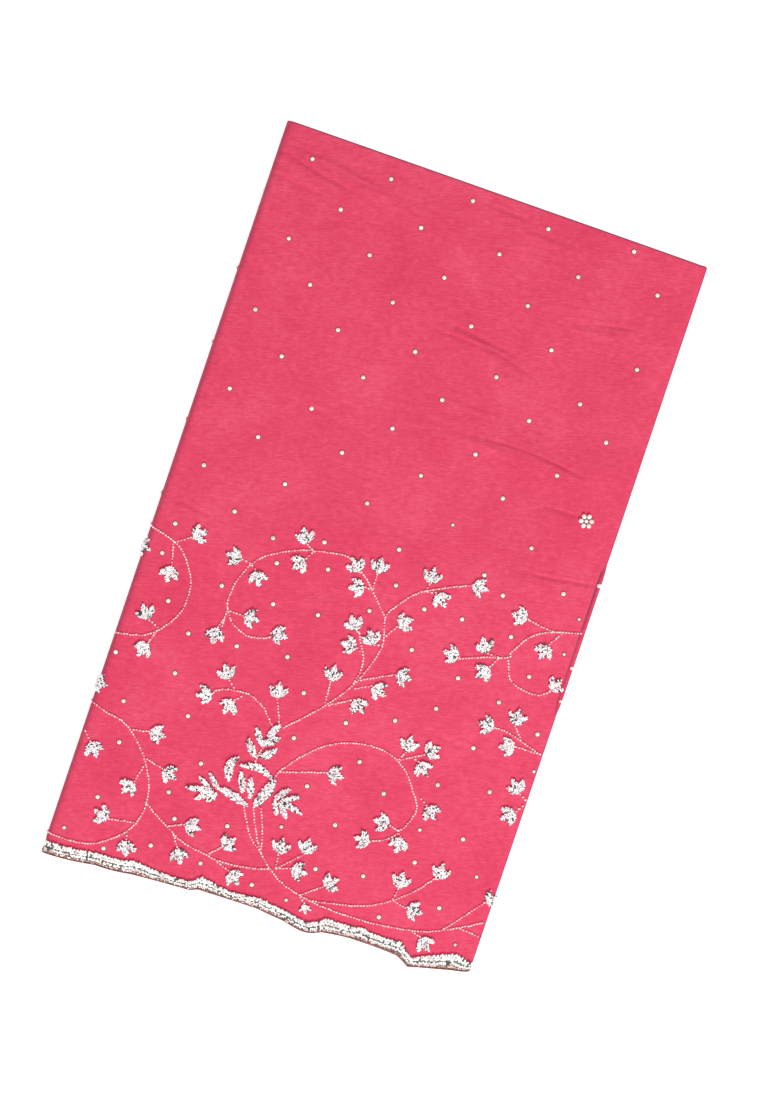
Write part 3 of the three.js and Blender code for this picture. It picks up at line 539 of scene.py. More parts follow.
@dataclass(frozen=True)
class SecondFace(ClothFace):
    """The stretch below it, seen past it along the right fold and under the hem."""

    peek: float = 0.9
    tuck: float = 1.0  # how far its hem stays back where it doesn't show
    hem_rim: float = 2.8  # columns over which its hem comes out and goes back
    shadow_rows: tuple[float, float] = (42.0, 36.0)  # rows between which the painted shadow beside it grows
    shadow_low: float = 0.45  # strength of that painted shadow below them
    shadow_reach: tuple[float, float] = (0.2, 2.6)  # how far past the top stretch that painted shadow starts and ends to fade

    def right(self, y: Points) -> Points:
        """Where the cloth begins to turn over on the right."""
        return self.form.right_shoulder + self.peek * self.form.right_peek(y)

    def hem(self, x: Points) -> Points:
        """Its own hem, which stands out under the top one in two places."""
        column = (x + self.form.fold_width / 2) / self.form.square
        humps = (peek.out * self.form.hump(column, peek.start, peek.end, self.hem_rim) for peek in HEM_PEEKS)
        return self.form.hem_edge(x) + self.tuck - sum(humps)

    def height(self, x: Points, y: Points) -> Points:
        """Height of the flat part, lower where the top stretch rolls over."""
        form = self.form
        share = form.edge_share(x, y, form.right_shoulder)
        return form.stack_height(x, y) - mix(form.leaf_drop, form.edge_drop, share)

    def painted_edge_shadow(self, x: Points, y: Points) -> Points:
        """The painted shadow that the top stretch's edge casts along it, fainter towards the hem."""
        peek = self.form.right_peek(y)
        past = x - self.form.right_shoulder - self.form.roll + TopFace.peek * peek
        strength = mix(self.shadow_low, 1.0, smoothstep(y, *map(self.form.y_of, self.shadow_rows)))
        return peek * strength * (1 - smoothstep(past, *self.shadow_reach))


# ---------------------------------------------------------------------------------------------
# Finishes
# ---------------------------------------------------------------------------------------------
def linear(colour: str) -> tuple[float, float, float, float]:
    """Turns an sRGB hex colour into linear light.

    Args:
        colour: six hex digits after a hash.

    Returns:
        Red, green, blue and alpha.
    """
    shares = [int(colour[i:i + 2], 16) / 255 for i in (1, 3, 5)]
    light = [s / 12.92 if s <= 0.04045 else ((s + 0.055) / 1.055) ** 2.4 for s in shares]
    return (*light, 1.0)


def add_node(tree: bpy.types.NodeTree, kind: str, inputs: dict[str, Any], **settings: Any) -> Any:
    """Adds a node with its settings, values and links.

    Args:
        tree: the material's node tree.
        kind: the node's type.
        inputs: for each socket, by name or number, a value, or the output socket that feeds it.
        **settings: the node's own properties.

    Returns:
        The node.
    """
    node = tree.nodes.new(kind)
    for name, value in settings.items():
        setattr(node, name, value)
    for socket, value in inputs.items():
        if isinstance(value, bpy.types.NodeSocket):
            tree.links.new(value, node.inputs[socket])
        else:
            node.inputs[socket].default_value = value
    return node


def add_noise(
        tree: bpy.types.NodeTree, place: bpy.types.NodeSocket, size: float, detail: float,
        roughness: float = 0.5) -> bpy.types.NodeSocket:
    """Adds a noise.

    Args:
        tree: the material's node tree.
        place: where the noise is read.
        size: size of its largest patches in millimetres.
        detail: how many finer layers it has.
        roughness: how strong those are.

    Returns:
        The noise's output.
    """
    noise = add_node(tree, "ShaderNodeTexNoise", {
        "Vector": place, "Scale": 1 / (size * MM), "Detail": detail, "Roughness": roughness})
    return noise.outputs["Fac"]


def set_stops(ramp: bpy.types.ShaderNode, stops: list[tuple[float, str]]) -> None:
    """Gives a colour ramp its stops, each a place and a colour."""
    elements = ramp.color_ramp.elements
    while len(elements) < len(stops):
        elements.new(0.5)
    for element, (place, colour) in zip(elements, stops):
        element.position = place
        element.color = linear(colour)


def new_material(name: str) -> tuple[bpy.types.Material, bpy.types.NodeTree]:
    """An empty node material and its tree."""
    material = bpy.data.materials.new(name)
    material.use_nodes = True
    material.node_tree.nodes.clear()
    return material, material.node_tree


def close_material(tree: bpy.types.NodeTree, inputs: dict[str, Any]) -> None:
    """Ends a material with its surface shader, given the shader's values and links."""
    surface = add_node(tree, "ShaderNodeBsdfPrincipled", inputs)
    add_node(tree, "ShaderNodeOutputMaterial", {"Surface": surface.outputs[0]})


@dataclass(frozen=True)
class Crepe:
    """Piece-dyed silk-like crepe, woven from hard-twisted yarn: matt, with fine uneven streaks that run
    along the weft and a crinkled grain. Real crepe grain is about 0.3 mm, drawn coarser so it shows."""

    name: str
    deep: str
    body: str
    pale: str
    fold: str = "#98364F"  # painted shade where the cloth turns away from the light at a fold, and painted shadow beside a covering edge
    crease: str = "#A82A49"  # painted shade in the trough of a pressed crease
    slub_length: float = 7.0
    slub_width: float = 0.9
    slub_tilt: float = 15.0  # degrees, the weft runs a little askew
    crinkle: float = 5.0
    blotch: float = 48.0
    grain: float = 0.8
    tone_shares: tuple[float, ...] = (0.48, 0.24, 0.28)  # of slubs, crinkles and blotches
    tone_stops: tuple[float, ...] = (0.38, 0.5, 0.62)  # tones at which the three colours are pure
    grain_share: float = 0.6
    relief: float = 0.09
    roughness: float = 0.82
    sheen: float = 0.06

    def material(self) -> bpy.types.Material:
        """The cloth's material."""
        material, tree = new_material(self.name)
        place = add_node(tree, "ShaderNodeTexCoord", {}).outputs["Object"]
        weft = add_node(tree, "ShaderNodeMapping", {
            "Vector": place, "Rotation": (0, 0, math.radians(self.slub_tilt)),
            "Scale": (self.slub_length * MM, self.slub_width * MM, self.slub_width * MM),
        }, vector_type="TEXTURE")
        slub = add_node(tree, "ShaderNodeTexNoise", {
            "Vector": weft.outputs[0], "Scale": 1.0, "Detail": 4.0, "Roughness": 0.62, "Distortion": 0.8})
        slub = slub.outputs["Fac"]
        crinkle = add_noise(tree, place, self.crinkle, 3.0, 0.6)
        blotch = add_noise(tree, place, self.blotch, 3.0, 0.55)
        grain = add_noise(tree, place, self.grain, 2.0)
        tone: Any = 0.0
        for noise, share in zip((slub, crinkle, blotch), self.tone_shares):
            sum_up = add_node(tree, "ShaderNodeMath", {0: noise, 1: share, 2: tone}, operation="MULTIPLY_ADD")
            tone = sum_up.outputs[0]
        ramp = add_node(tree, "ShaderNodeValToRGB", {"Fac": tone})
        set_stops(ramp, list(zip(self.tone_stops, (self.deep, self.body, self.pale))))
        relief = add_node(tree, "ShaderNodeMath", {
            0: grain, 1: self.grain_share, 2: slub}, operation="MULTIPLY_ADD")
        bump = add_node(tree, "ShaderNodeBump", {
            "Height": relief.outputs[0], "Strength": 0.5, "Distance": self.relief * MM})
        tint = ramp.outputs["Color"]
        # Painted shade: the crease attribute darkens crease troughs, and the shade attribute darkens rims
        # turned from the light and the second stretch in the shadow of the top stretch's edge.
        for name, colour in (("crease", self.crease), ("shade", self.fold)):
            share = add_node(tree, "ShaderNodeAttribute", {}, attribute_name=name)
            tint = add_node(tree, "ShaderNodeMix", {
                0: share.outputs["Fac"], 6: tint, 7: linear(colour)}, data_type="RGBA").outputs[2]
        close_material(tree, {
            "Base Color": tint, "Normal": bump.outputs["Normal"],
            "Roughness": self.roughness, "Sheen Weight": self.sheen, "Sheen Roughness": 0.5,
            "Specular IOR Level": 0.25})
        return material


@dataclass(frozen=True)
class BeadGlass:
    """Glass beads of mixed lustre: each bead's own number picks its colour, so that bright and cream ones lie
    side by side as they come from the string, and the darkest stops paint shade on beads whose facets turn
    from the light."""

    name: str
    stops: tuple[tuple[float, str], ...]
    roughness: float = 0.22
    painted_glow: float = 0.2  # painted light: each bead glows in its own colour, standing in for the sparkle of its silver lining
    clouding: float = 0.7  # size of the uneven silvering inside a bead
    rough_range: tuple[float, float] = (0.7, 1.5)  # shares of its roughness between which a bead varies

    def material(self) -> bpy.types.Material:
        """The beads' material."""
        material, tree = new_material(self.name)
        lustre_and_shade = add_node(tree, "ShaderNodeAttribute", {}, attribute_name="lustre_and_shade")
        ramp = add_node(tree, "ShaderNodeValToRGB", {"Fac": lustre_and_shade.outputs["Fac"]})
        ramp.color_ramp.interpolation = "CONSTANT"
        set_stops(ramp, list(self.stops))
        place = add_node(tree, "ShaderNodeTexCoord", {}).outputs["Object"]
        least, most = (self.roughness * share for share in self.rough_range)
        rough = add_node(tree, "ShaderNodeMapRange", {
            "Value": add_noise(tree, place, self.clouding, 1.0), "To Min": least, "To Max": most})
        # The emission is painted light: the beads glow though they are no lamp.
        close_material(tree, {
            "Base Color": ramp.outputs["Color"], "Roughness": rough.outputs["Result"],
            "Emission Color": ramp.outputs["Color"], "Emission Strength": self.painted_glow, "IOR": 1.52})
        return material


@dataclass(frozen=True)
class Thread:
    """Spun thread, seen along the hem and round the beads, where its darker kinds are painted shade: matt,
    with its twist as fine bands.
    """

    name: str
    deep: str
    body: str
    twist: float = 0.9
    relief: float = 0.15

    def material(self) -> bpy.types.Material:
        """The thread's material."""
        material, tree = new_material(self.name)
        place = add_node(tree, "ShaderNodeTexCoord", {}).outputs["Object"]
        twist = add_noise(tree, place, self.twist, 2.0)
        ramp = add_node(tree, "ShaderNodeValToRGB", {"Fac": twist})
        set_stops(ramp, [(0.4, self.deep), (0.6, self.body)])
        bump = add_node(tree, "ShaderNodeBump", {
            "Height": twist, "Strength": 0.6, "Distance": self.relief * MM})
        close_material(tree, {
            "Base Color": ramp.outputs["Color"], "Normal": bump.outputs["Normal"], "Roughness": 0.8})
        return material


Finish = Crepe | BeadGlass | Thread

PINK_CREPE = Crepe("pink_crepe", deep="#DD3C5F", body="#E94869", pale="#F15A78")
# The same crepe, darker: painted shade on the edges of the hidden leaves.
SHADED_CREPE_EDGES = Crepe("pink_crepe_shaded_edges", deep="#C43656", body="#D44362", pale="#E05470")
# The grey and darkest stops are painted shade and dark reflections, for beads whose facets turn from the
# light.
SILVER_LINED_GLASS = BeadGlass("silver_lined_glass", stops=(
    (0.0, "#FFFFFF"), (0.4, "#FBEDEC"), (0.64, "#E6CBD1"), (0.8, "#B3A3A6"), (0.92, "#4C524B")))
# Its darkest stop is painted shade, for beads that turn from the light.
CREAM_GLASS = BeadGlass("cream_glass", stops=(
    (0.0, "#FFFFFF"), (0.5, "#FFF5EE"), (0.76, "#DDCDC9"), (0.92, "#5A5F56")))
BLUSH_GLASS = BeadGlass("blush_glass", stops=((0.0, "#FFE2E0"), (0.4, "#F6C6CA"), (0.8, "#E29AA8")))
DUSKY_ROSE_GLASS = BeadGlass("dusky_rose_glass", stops=(
    (0.0, "#E7C7C2"), (0.4, "#B78B84"), (0.75, "#8E655E")))
PEARL_SEQUIN = BeadGlass("pearl_sequin", stops=((0.0, "#FFE9E2"), (0.6, "#F8D6CD")), roughness=0.3)
ASH_THREAD = Thread("ash_thread", deep="#5C6157", body="#93968A")
# Dark thread under the bead flowers and leaves: painted shade in the gaps between their beads.
OLIVE_SHADE_THREAD = Thread("olive_shade_thread", deep="#3A4039", body="#72776B")
ROSE_BROWN_THREAD = Thread("rose_brown_thread", deep="#74454A", body="#A27476")
# Dark thread round the dots and under the rosette: painted shade round the sequins and between the rosette's
# beads.
DUSKY_SHADE_THREAD = Thread("dusky_shade_thread", deep="#5A4643", body="#8A6F6A")


@cache
def material_of(finish: Finish) -> bpy.types.Material:
    """The material of a finish, made once for all the pieces that have it."""
    return finish.material()


# ---------------------------------------------------------------------------------------------
# Mesh tools
# ---------------------------------------------------------------------------------------------
def add_primitive(kind: Callable, **sizes: Any) -> bpy.types.Object:
    """Adds a primitive with nothing else selected, and applies its turn.

    Args:
        kind: the primitive's operator.
        **sizes: its sizes and turn.

    Returns:
        The new object.
    """
    bpy.ops.object.select_all(action="DESELECT")
    kind(**sizes)
    bpy.ops.object.transform_apply(location=True, rotation=True, scale=True)
    return bpy.context.object


def select_faces(piece: bpy.types.Object, wanted: Callable[[Any], bool]) -> None:
    """Opens edit mode with only the faces selected that pass the test."""
    bpy.ops.object.mode_set(mode="EDIT")
    bpy.ops.mesh.select_mode(type="FACE")
    bpy.ops.mesh.select_all(action="DESELECT")
    bpy.ops.object.mode_set(mode="OBJECT")
    for face in piece.data.polygons:
        face.select = wanted(face)
    bpy.ops.object.mode_set(mode="EDIT")


def corners(piece: bpy.types.Object) -> Points:
    """The mesh's points as an array."""
    places = np.empty(len(piece.data.vertices) * 3)
    piece.data.vertices.foreach_get("co", places)
    return places.reshape(-1, 3)


def move_corners(piece: bpy.types.Object, places: Points) -> None:
    """Moves the mesh's points to new places, in metres."""
    piece.data.vertices.foreach_set("co", places.ravel())
    piece.data.update()


def add_grid(columns: int, rows: int) -> tuple[bpy.types.Object, Points, Points]:
    """Adds a flat grid.

    Args:
        columns: its number of lines across.
        rows: its number of lines along.

    Returns:
        The grid, and the column and the row of each of its points.
    """
    grid = add_primitive(
        bpy.ops.mesh.primitive_grid_add, x_subdivisions=columns - 1, y_subdivisions=rows - 1, size=2)
    spot = (corners(grid)[:, :2] + 1) / 2 * [columns - 1, rows - 1]
    return grid, *np.rint(spot).astype(int).T


def add_ball(segments: int, rings: int) -> tuple[bpy.types.Object, Points, Points]:
    """Adds a ball whose rings run from pole to pole.

    Args:
        segments: the number of points in a ring.
        rings: the number of steps from pole to pole.

    Returns:
        The ball, and the ring and the angle of each of its points.
    """
    ball = add_primitive(
        bpy.ops.mesh.primitive_uv_sphere_add, segments=segments, ring_count=rings, radius=1)
    x, y, z = corners(ball).T
    level = np.rint(np.arccos(np.clip(z, -1, 1)) / np.pi * rings).astype(int)
    return ball, level, np.arctan2(y, x)


def give_wall(piece: bpy.types.Object, wall: float) -> None:
    """Gives a sheet its thickness, on the inner side of its face."""
    bpy.ops.object.modifier_add(type="SOLIDIFY")
    solidify = piece.modifiers[-1]
    solidify.thickness = wall * MM
    solidify.offset = -1
    bpy.ops.object.modifier_apply(modifier=solidify.name)
    bpy.ops.object.shade_smooth_by_angle(angle=SHARP_TURN)


def joined_mesh(name: str, points: Points, faces: list[list[int]], copies: int) -> bpy.types.Object:
    """One object of many copies of a small mesh.

    Args:
        name: the object's name.
        points: the points of all copies, in metres, one copy after the other.
        faces: the faces of one copy.
        copies: how many copies there are.

    Returns:
        The object.
    """
    first = np.arange(copies) * (len(points) // copies)
    joined: list[list[int]] = []
    for size in sorted({len(face) for face in faces}):
        block = np.array([face for face in faces if len(face) == size])
        joined += (block[None] + first[:, None, None]).reshape(-1, size).tolist()
    mesh = bpy.data.meshes.new(name)
    mesh.from_pydata(points.tolist(), [], joined)
    piece = bpy.data.objects.new(name, mesh)
    bpy.context.scene.collection.objects.link(piece)
    return piece


def dress(piece: bpy.types.Object, name: str, finish: Finish) -> None:
    """Names a finished piece, gives it its material, body and slot, and reports it.

    Args:
        piece: the object.
        name: its name.
        finish: its finish.
    """
    piece.name = piece.data.name = name
    piece.data.materials.clear()
    piece.data.materials.append(material_of(finish))
    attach(piece, BODY)
    piece.data.calc_loop_triangles()
    log.info("%s: %d triangles", name, len(piece.data.loop_triangles))


# ---------------------------------------------------------------------------------------------
# Cloth
# ---------------------------------------------------------------------------------------------
@dataclass
class ClothSheet:
    """One stretch of the saree as a thin sheet on its face."""

    face: ClothFace
    flat_columns: int
    flat_rows: int
    fold_columns: int = 0  # steps over the fold on the left
    roll_steps: int = 8
    tail: float = 3.0  # length of cloth that goes on under a roll
    wall: float = 0.5
    unshaded_upward: float = 0.95  # upward share of a rolled edge below which painted shade sets in
    shade_fall: float = 8.0  # the more, the sooner the painted shade deepens below that
    rim_shades: tuple[float, float] = (0.3, 1.0)  # strength of the painted shade at the last fold and the rolls

    def lines(self, flat: int, start: Points) -> tuple[Points, Points]:
        """Grid lines in one direction.

        Args:
            flat: steps over the flat part.
            start: lengths of cloth before the flat part, over a fold.

        Returns:
            For each line its share of the flat part and its length beyond that part.
        """
        roll = self.face.form.roll * np.pi
        end = np.concatenate([np.linspace(0, roll, self.roll_steps + 1)[1:], [roll + self.tail]])
        share = np.concatenate([np.zeros(len(start)), np.linspace(0, 1, flat + 1), np.ones(len(end))])
        return share, np.concatenate([-start, np.zeros(flat + 1), end])

    def build(self) -> bpy.types.Object:
        """Shapes a flat grid into the sheet and gives it its wall."""
        face, form = self.face, self.face.form
        wrap = np.linspace(face.fold_arcs[0][-1], 0, self.fold_columns + 1)[:-1]
        across_share, across_beyond = self.lines(self.flat_columns, wrap)
        along_share, along_beyond = self.lines(self.flat_rows, np.array([]))
        sheet, i, j = add_grid(len(across_share), len(along_share))
        flat_x = mix(face.left, form.right_shoulder, across_share[i])
        y = mix(face.hem(flat_x), form.fold_edge(flat_x) - form.roll, along_share[j])
        across = mix(face.left, face.right(y), across_share[i]) + across_beyond[i]
        point, _, _, out = face.axes(across, y + along_beyond[j])
        move_corners(sheet, form.in_frame(point))
        # Painted shade: rolled rims darken as they turn from the light, the second stretch darkens in the
        # shadow of the top stretch's edge, and creases darken along their troughs.
        rolled = (across_beyond[i] != 0) | (along_beyond[j] != 0)
        rim_shade = rolled * (1 - np.clip(out[:, 2] / self.unshaded_upward, 0, 1) ** self.shade_fall)
        rim_shade *= np.where(across < face.left, *self.rim_shades)
        painted_shades = {"shade": np.maximum(rim_shade, face.painted_edge_shadow(across, y)), "crease": face.painted_crease_shade(across, y)}
        for name, tint in painted_shades.items():
            sheet.data.attributes.new(name, "FLOAT", "POINT").data.foreach_set("value", tint)
        give_wall(sheet, self.wall)
        return sheet


@dataclass
class LayerStack:
    """The hidden leaves of the fold as one solid: flat below, layered at its edges."""

    form: FoldedSaree
    leaves: int = 14
    step: float = 4.0  # spacing of the points along the outline
    inset_right: float = 3.2
    inset_fold: float = 3.0
    inset_hem: float = 5.0
    groove: float = 1.1
    wall: float = 1.9  # cloth of the last fold and the room inside it
    corner_fade: float = 8.0
    seed: int = 5
    uneven: float = 0.45  # how far single leaves lie out of line
    wander: float = 0.16  # height of the slow waves along a leaf's edge
    wander_lengths: tuple[float, ...] = (310.0, 140.0, 62.0)
    sharp_turn: float = 50.0  # degrees between two faces from which their edge shows
    hem_leaves: int = 2  # every which leaf shows its edging at the hem
    hem_pure: float = 0.6  # least share of hem where that edging is laid
    hem_line_at: int = 2  # line of the leaf's section that it lies on
    hem_start: float = 1.0  # where its first bead lies
    hem_delay: float = 0.3  # how far each of the two lines after it starts later
    hem_pitch: float = 2.05
    hem_out: float = 0.3
    # Lines of one leaf: share of its height, and how deep it lies at a fold and at a hem of two edges.
    section = table("share, fold, hem", [
        (0.0, 1.0, 1.0), (0.15, 0.35, 0.12), (0.4, 0.03, 0.05), (0.5, 0.0, 0.55), (0.6, 0.03, 0.05),
        (0.85, 0.35, 0.12),
    ])
    crown_rings: tuple[float, ...] = (0.3, 0.6, 0.85, 0.97)
    foot_rings: tuple[float, ...] = (0.95, 0.5)

    def hem_line(self, x: Points) -> Points:
        """The stack's side at the hem, before its leaves wander."""
        return self.form.hem_edge(x) + self.inset_hem

    def fold_line(self, x: Points) -> Points:
        """The stack's side at the upper fold, before its leaves wander."""
        return self.form.fold_edge(x) - self.inset_fold

    def outline(self) -> tuple[Points, Points, Points]:
        """The stack's outline, counter-clockwise from the left end of the hem.

        Returns:
            Its points, its outward directions, and each point's shares of hem, right, fold and left.
        """
        form = self.form
        left, right = form.left_shoulder, form.fold_width / 2 - self.inset_right
        wide, deep = round((right - left) / self.step), round(form.left_depth / self.step)
        to_right = np.linspace(left, right, wide + 1)[:-1]
        to_left = np.linspace(right, left, wide + 1)[:-1]
        up = np.linspace(self.hem_line(right), self.fold_line(right), deep + 1)[:-1]
        down = np.linspace(self.fold_line(left), self.hem_line(left), deep + 1)[:-1]
        x = np.concatenate([to_right, np.full(deep, right), to_left, np.full(deep, left)])
        y = np.concatenate([self.hem_line(to_right), up, self.fold_line(to_left), down])
        outline = np.stack([x, y], axis=-1)
        ahead = np.roll(outline, -2, axis=0) - np.roll(outline, 2, axis=0)
        outward = np.stack([ahead[:, 1], -ahead[:, 0]], axis=-1)
        outward /= np.linalg.norm(outward, axis=-1, keepdims=True)
        sides = np.repeat(np.eye(4), [wide, deep, wide, deep], axis=0)
        weights = {-2: 1, -1: 2, 0: 3, 1: 2, 2: 1}
        soft = sum(weight * np.roll(sides, steps, axis=0) for steps, weight in weights.items())
        return outline, outward, soft / sum(weights.values())

    def leaf_out(self, side: str, run: Points) -> Points:
        """How far each leaf stands out along one side, with its slow wander.

        Args:
            side: column of LEAVES.
            run: distances along the outline.

        Returns:
            One row for each leaf.
        """
        chance = np.random.default_rng(self.seed + len(side))
        known = LEAVES[side]
        base = np.interp(np.linspace(0, len(known) - 1, self.leaves), np.arange(len(known)), known)
        base = base + chance.uniform(-self.uneven, self.uneven, self.leaves)
        waves = np.zeros((self.leaves, len(run)))
        for length in self.wander_lengths:
            phase = chance.uniform(0, 2 * np.pi, (self.leaves, 1))
            waves += self.wander * np.sin(2 * np.pi * run / length + phase)
        return base[:, None] + waves

    def rings(self) -> list[Points]:
        """The rings of points from the middle of the top round the edge to the middle of the foot."""
        form = self.form
        outline, outward, sides = self.outline()
        x, y = outline.T
        right = form.fold_width / 2 - self.inset_right
        drop = 2 * mix(form.leaf_drop, form.edge_drop, form.edge_share(x, y, right))
        top = form.stack_height(x, y) - drop
        run = np.arange(len(x)) * self.step
        outs = {side: self.leaf_out(side, run) for side in ("hem", "right", "fold")}
        middle = (form.stack_height(x, y) + form.left_roll_clear) / 2
        tall = middle - form.left_roll_clear - self.wall
        from_corner = np.minimum(form.fold_edge(x) - y, y - form.hem_edge(x)) - self.inset_fold
        wide = (form.left_roll_out - self.wall) * smoothstep(from_corner, 0, self.corner_fade)

        def ring(leaf: int, line: Any) -> Points:
            """One ring round the edge of the stack."""
            z = top * (1 - (leaf + line.share) / self.leaves)
            inside = [min(leaf, self.leaves - 1), max(leaf - 1, 0)]
            out = sides[:, 3] * wide * np.sqrt(np.maximum(0, 1 - ((z - middle) / tall) ** 2))
            depths = {"hem": line.hem, "right": line.fold, "fold": line.fold}
            for column, (side, deep) in enumerate(depths.items()):
                near = outs[side][inside].min(axis=0) if line.share == 0 else outs[side][inside[0]]
                out = out + sides[:, column] * (near - deep * self.groove)
            return np.column_stack([outline + outward * out[:, None], z])

        wall = [ring(leaf, line) for leaf in range(self.leaves) for line in self.section]
        wall.append(ring(self.leaves, self.section[0]))
        crown = []
        for share in self.crown_rings:
            inner = outline * share
            low = form.stack_height(*inner.T) - 2 * form.leaf_drop
            edge = form.edge_share(*inner.T, right)
            crown.append(np.column_stack([inner, low - 2 * (form.edge_drop - form.leaf_drop) * edge]))
        foot = [np.column_stack([outline * share, np.zeros(len(x))]) for share in self.foot_rings]
        return crown + wall + foot

    def build(self) -> bpy.types.Object:
        """Shapes a ball of rings into the stack."""
        rings = self.rings()
        stack, level, angle = add_ball(len(rings[0]), len(rings) + 1)
        turn = np.rint(angle / (2 * np.pi) * len(rings[0])).astype(int)
        crest = [[0.0, 0.0, self.form.crest - 2 * self.form.leaf_drop]]
        crown, foot = np.array(crest * len(rings[0])), np.zeros_like(rings[0])
        grid = np.stack([crown, *rings, foot])
        move_corners(stack, self.form.in_frame(grid[level, turn % len(rings[0])]))
        bpy.ops.object.shade_smooth_by_angle(angle=math.radians(self.sharp_turn))
        return stack

    def hem_beads(self) -> tuple[Points, Points, Points]:
        """Where the edgings of the hidden leaves show at the hem.

        Returns:
            The beads' middles, the direction that each runs in, and the direction out of the stack.
        """
        outline, outward, sides = self.outline()
        rings = self.rings()[len(self.crown_rings):]
        hem = sides[:, 0] > self.hem_pure
        middles, aheads, outs = [], [], []
        for leaf in range(0, self.leaves, self.hem_leaves):
            ring = rings[leaf * len(self.section) + self.hem_line_at][hem]
            run = np.concatenate([[0.0], np.cumsum(np.linalg.norm(np.diff(ring[:, :2], axis=0), axis=1))])
            spots = np.arange(self.hem_start + self.hem_delay * (leaf % 3), run[-1], self.hem_pitch)
            line = np.column_stack([np.interp(spots, run, column) for column in ring.T])
            out = np.column_stack([np.interp(spots, run, column) for column in outward[hem].T])
            out = np.column_stack([out, np.zeros(len(out))])
            middles.append(line + self.hem_out * out)
            outs.append(out)
            aheads.append(np.column_stack([-out[:, 1], out[:, 0], out[:, 2]]))
        return np.concatenate(middles), np.concatenate(aheads), np.concatenate(outs)


# ---------------------------------------------------------------------------------------------
# Beads
# ---------------------------------------------------------------------------------------------
class BeadShape(Enum):
    """The kinds of bead on the saree."""

    CUT = "cut"  # a short six-sided tube
    SEED = "seed"  # a small ring, threaded through its hole
    CUP = "cup"  # a round sequin with a raised rim
    ROUND = "round"  # a ball


@dataclass(frozen=True)
class BeadModel:
    """One bead of a kind, modelled once, as long and thick as 1 by 1 along the x axis."""

    shape: BeadShape

    def model(self) -> bpy.types.Object:
        """Models the bead from a primitive."""
        quarter = math.pi / 2
        if self.shape is BeadShape.CUT:
            bead = add_primitive(
                bpy.ops.mesh.primitive_cylinder_add, vertices=6, radius=0.5, depth=0.86,
                rotation=(quarter, 0, quarter))
            select_faces(bead, lambda face: abs(face.normal.x) > 0.9)
            bpy.ops.mesh.inset(thickness=0.17, depth=0.07)
            bpy.ops.object.mode_set(mode="OBJECT")
        elif self.shape is BeadShape.SEED:
            bead = add_primitive(
                bpy.ops.mesh.primitive_torus_add, major_segments=8, minor_segments=5,
                major_radius=0.29, minor_radius=0.21, rotation=(0, quarter, 0))
        elif self.shape is BeadShape.CUP:
            bead = add_primitive(bpy.ops.mesh.primitive_cylinder_add, vertices=12, radius=0.5, depth=0.4)
            for thickness, depth in ((0.1, 0.3), (0.12, 0.15), (0.12, -0.3)):
                select_faces(bead, lambda face: face.normal.z > 0.9 and len(face.vertices) > 4)
                bpy.ops.mesh.inset(thickness=thickness, depth=depth)
                bpy.ops.object.mode_set(mode="OBJECT")
        else:
            bead = add_primitive(
                bpy.ops.mesh.primitive_uv_sphere_add, segments=12, ring_count=8, radius=0.5)
        return bead

    def template(self) -> tuple[Points, list[list[int]]]:
        """The bead's points, scaled to a box of 1 each way, and its faces. The model is then removed."""
        bead = self.model()
        places = corners(bead)
        low, high = places.min(axis=0), places.max(axis=0)
        faces = [list(face.vertices) for face in bead.data.polygons]
        mesh = bead.data
        bpy.data.objects.remove(bead)
        bpy.data.meshes.remove(mesh)
        return (places - (low + high) / 2) / (high - low), faces


@dataclass
class BeadTray:
    """Beads of one shape, laid out and then sewn on as one piece."""

    form: FoldedSaree
    shape: BeadShape
    seed: int
    middles: list[Points] = field(default_factory=list)
    turns: list[Points] = field(default_factory=list)
    sizes: list[Points] = field(default_factory=list)

    @cached_property
    def chance(self) -> np.random.Generator:
        """The tray's own even source of small differences."""
        return np.random.default_rng(self.seed)

    def lay(self, middle: Points, ahead: Points, out: Points, size: Points) -> None:
        """Lays beads at given middles.

        Args:
            middle: the beads' middles.
            ahead: the direction that each bead is long in.
            out: the direction out of the cloth.
            size: length, width and height of each bead.
        """
        self.middles.append(middle)
        self.turns.append(np.stack([ahead, np.cross(out, ahead), out], axis=1))
        self.sizes.append(np.broadcast_to(size, middle.shape))

    def lay_on(self, face: ClothFace, spots: np.recarray) -> None:
        """Lays beads on a face of cloth.

        Args:
            face: the cloth.
            spots: across and along, heading in radians, length, width and height, and lift.
        """
        point, u, v, out = face.axes(spots.across, spots.along)
        ahead = u * np.cos(spots.heading)[:, None] + v * np.sin(spots.heading)[:, None]
        middle = point + out * (spots.height / 2 + spots.lift)[:, None]
        self.lay(middle, ahead, out, np.stack([spots.length, spots.width, spots.height], axis=-1))

    def sew(self, name: str, finish: Finish) -> bpy.types.Object:
        """Makes one joined mesh of all the beads on the tray, with sharp edges on cut ones.

        Args:
            name: the piece's name.
            finish: its finish.

        Returns:
            The piece.
        """
        places, faces = BeadModel(self.shape).template()
        middles, turns = np.concatenate(self.middles), np.concatenate(self.turns)
        shaped = places[None] * np.concatenate(self.sizes)[:, None]
        points = middles[:, None] + np.einsum("nki,nij->nkj", shaped, turns)
        piece = joined_mesh(name, self.form.in_frame(points.reshape(-1, 3)), faces, len(middles))
        lustre_and_shade = piece.data.attributes.new("lustre_and_shade", "FLOAT", "POINT")
        lustre_and_shade.data.foreach_set("value", np.repeat(self.chance.random(len(middles)), len(places)))
        smooth = np.full(len(piece.data.polygons), self.shape is not BeadShape.CUT)
        piece.data.polygons.foreach_set("use_smooth", smooth)
        dress(piece, name, finish)
        return piece


SPOT = "across, along, heading, length, width, height, lift"  # columns of a table of beads on a face


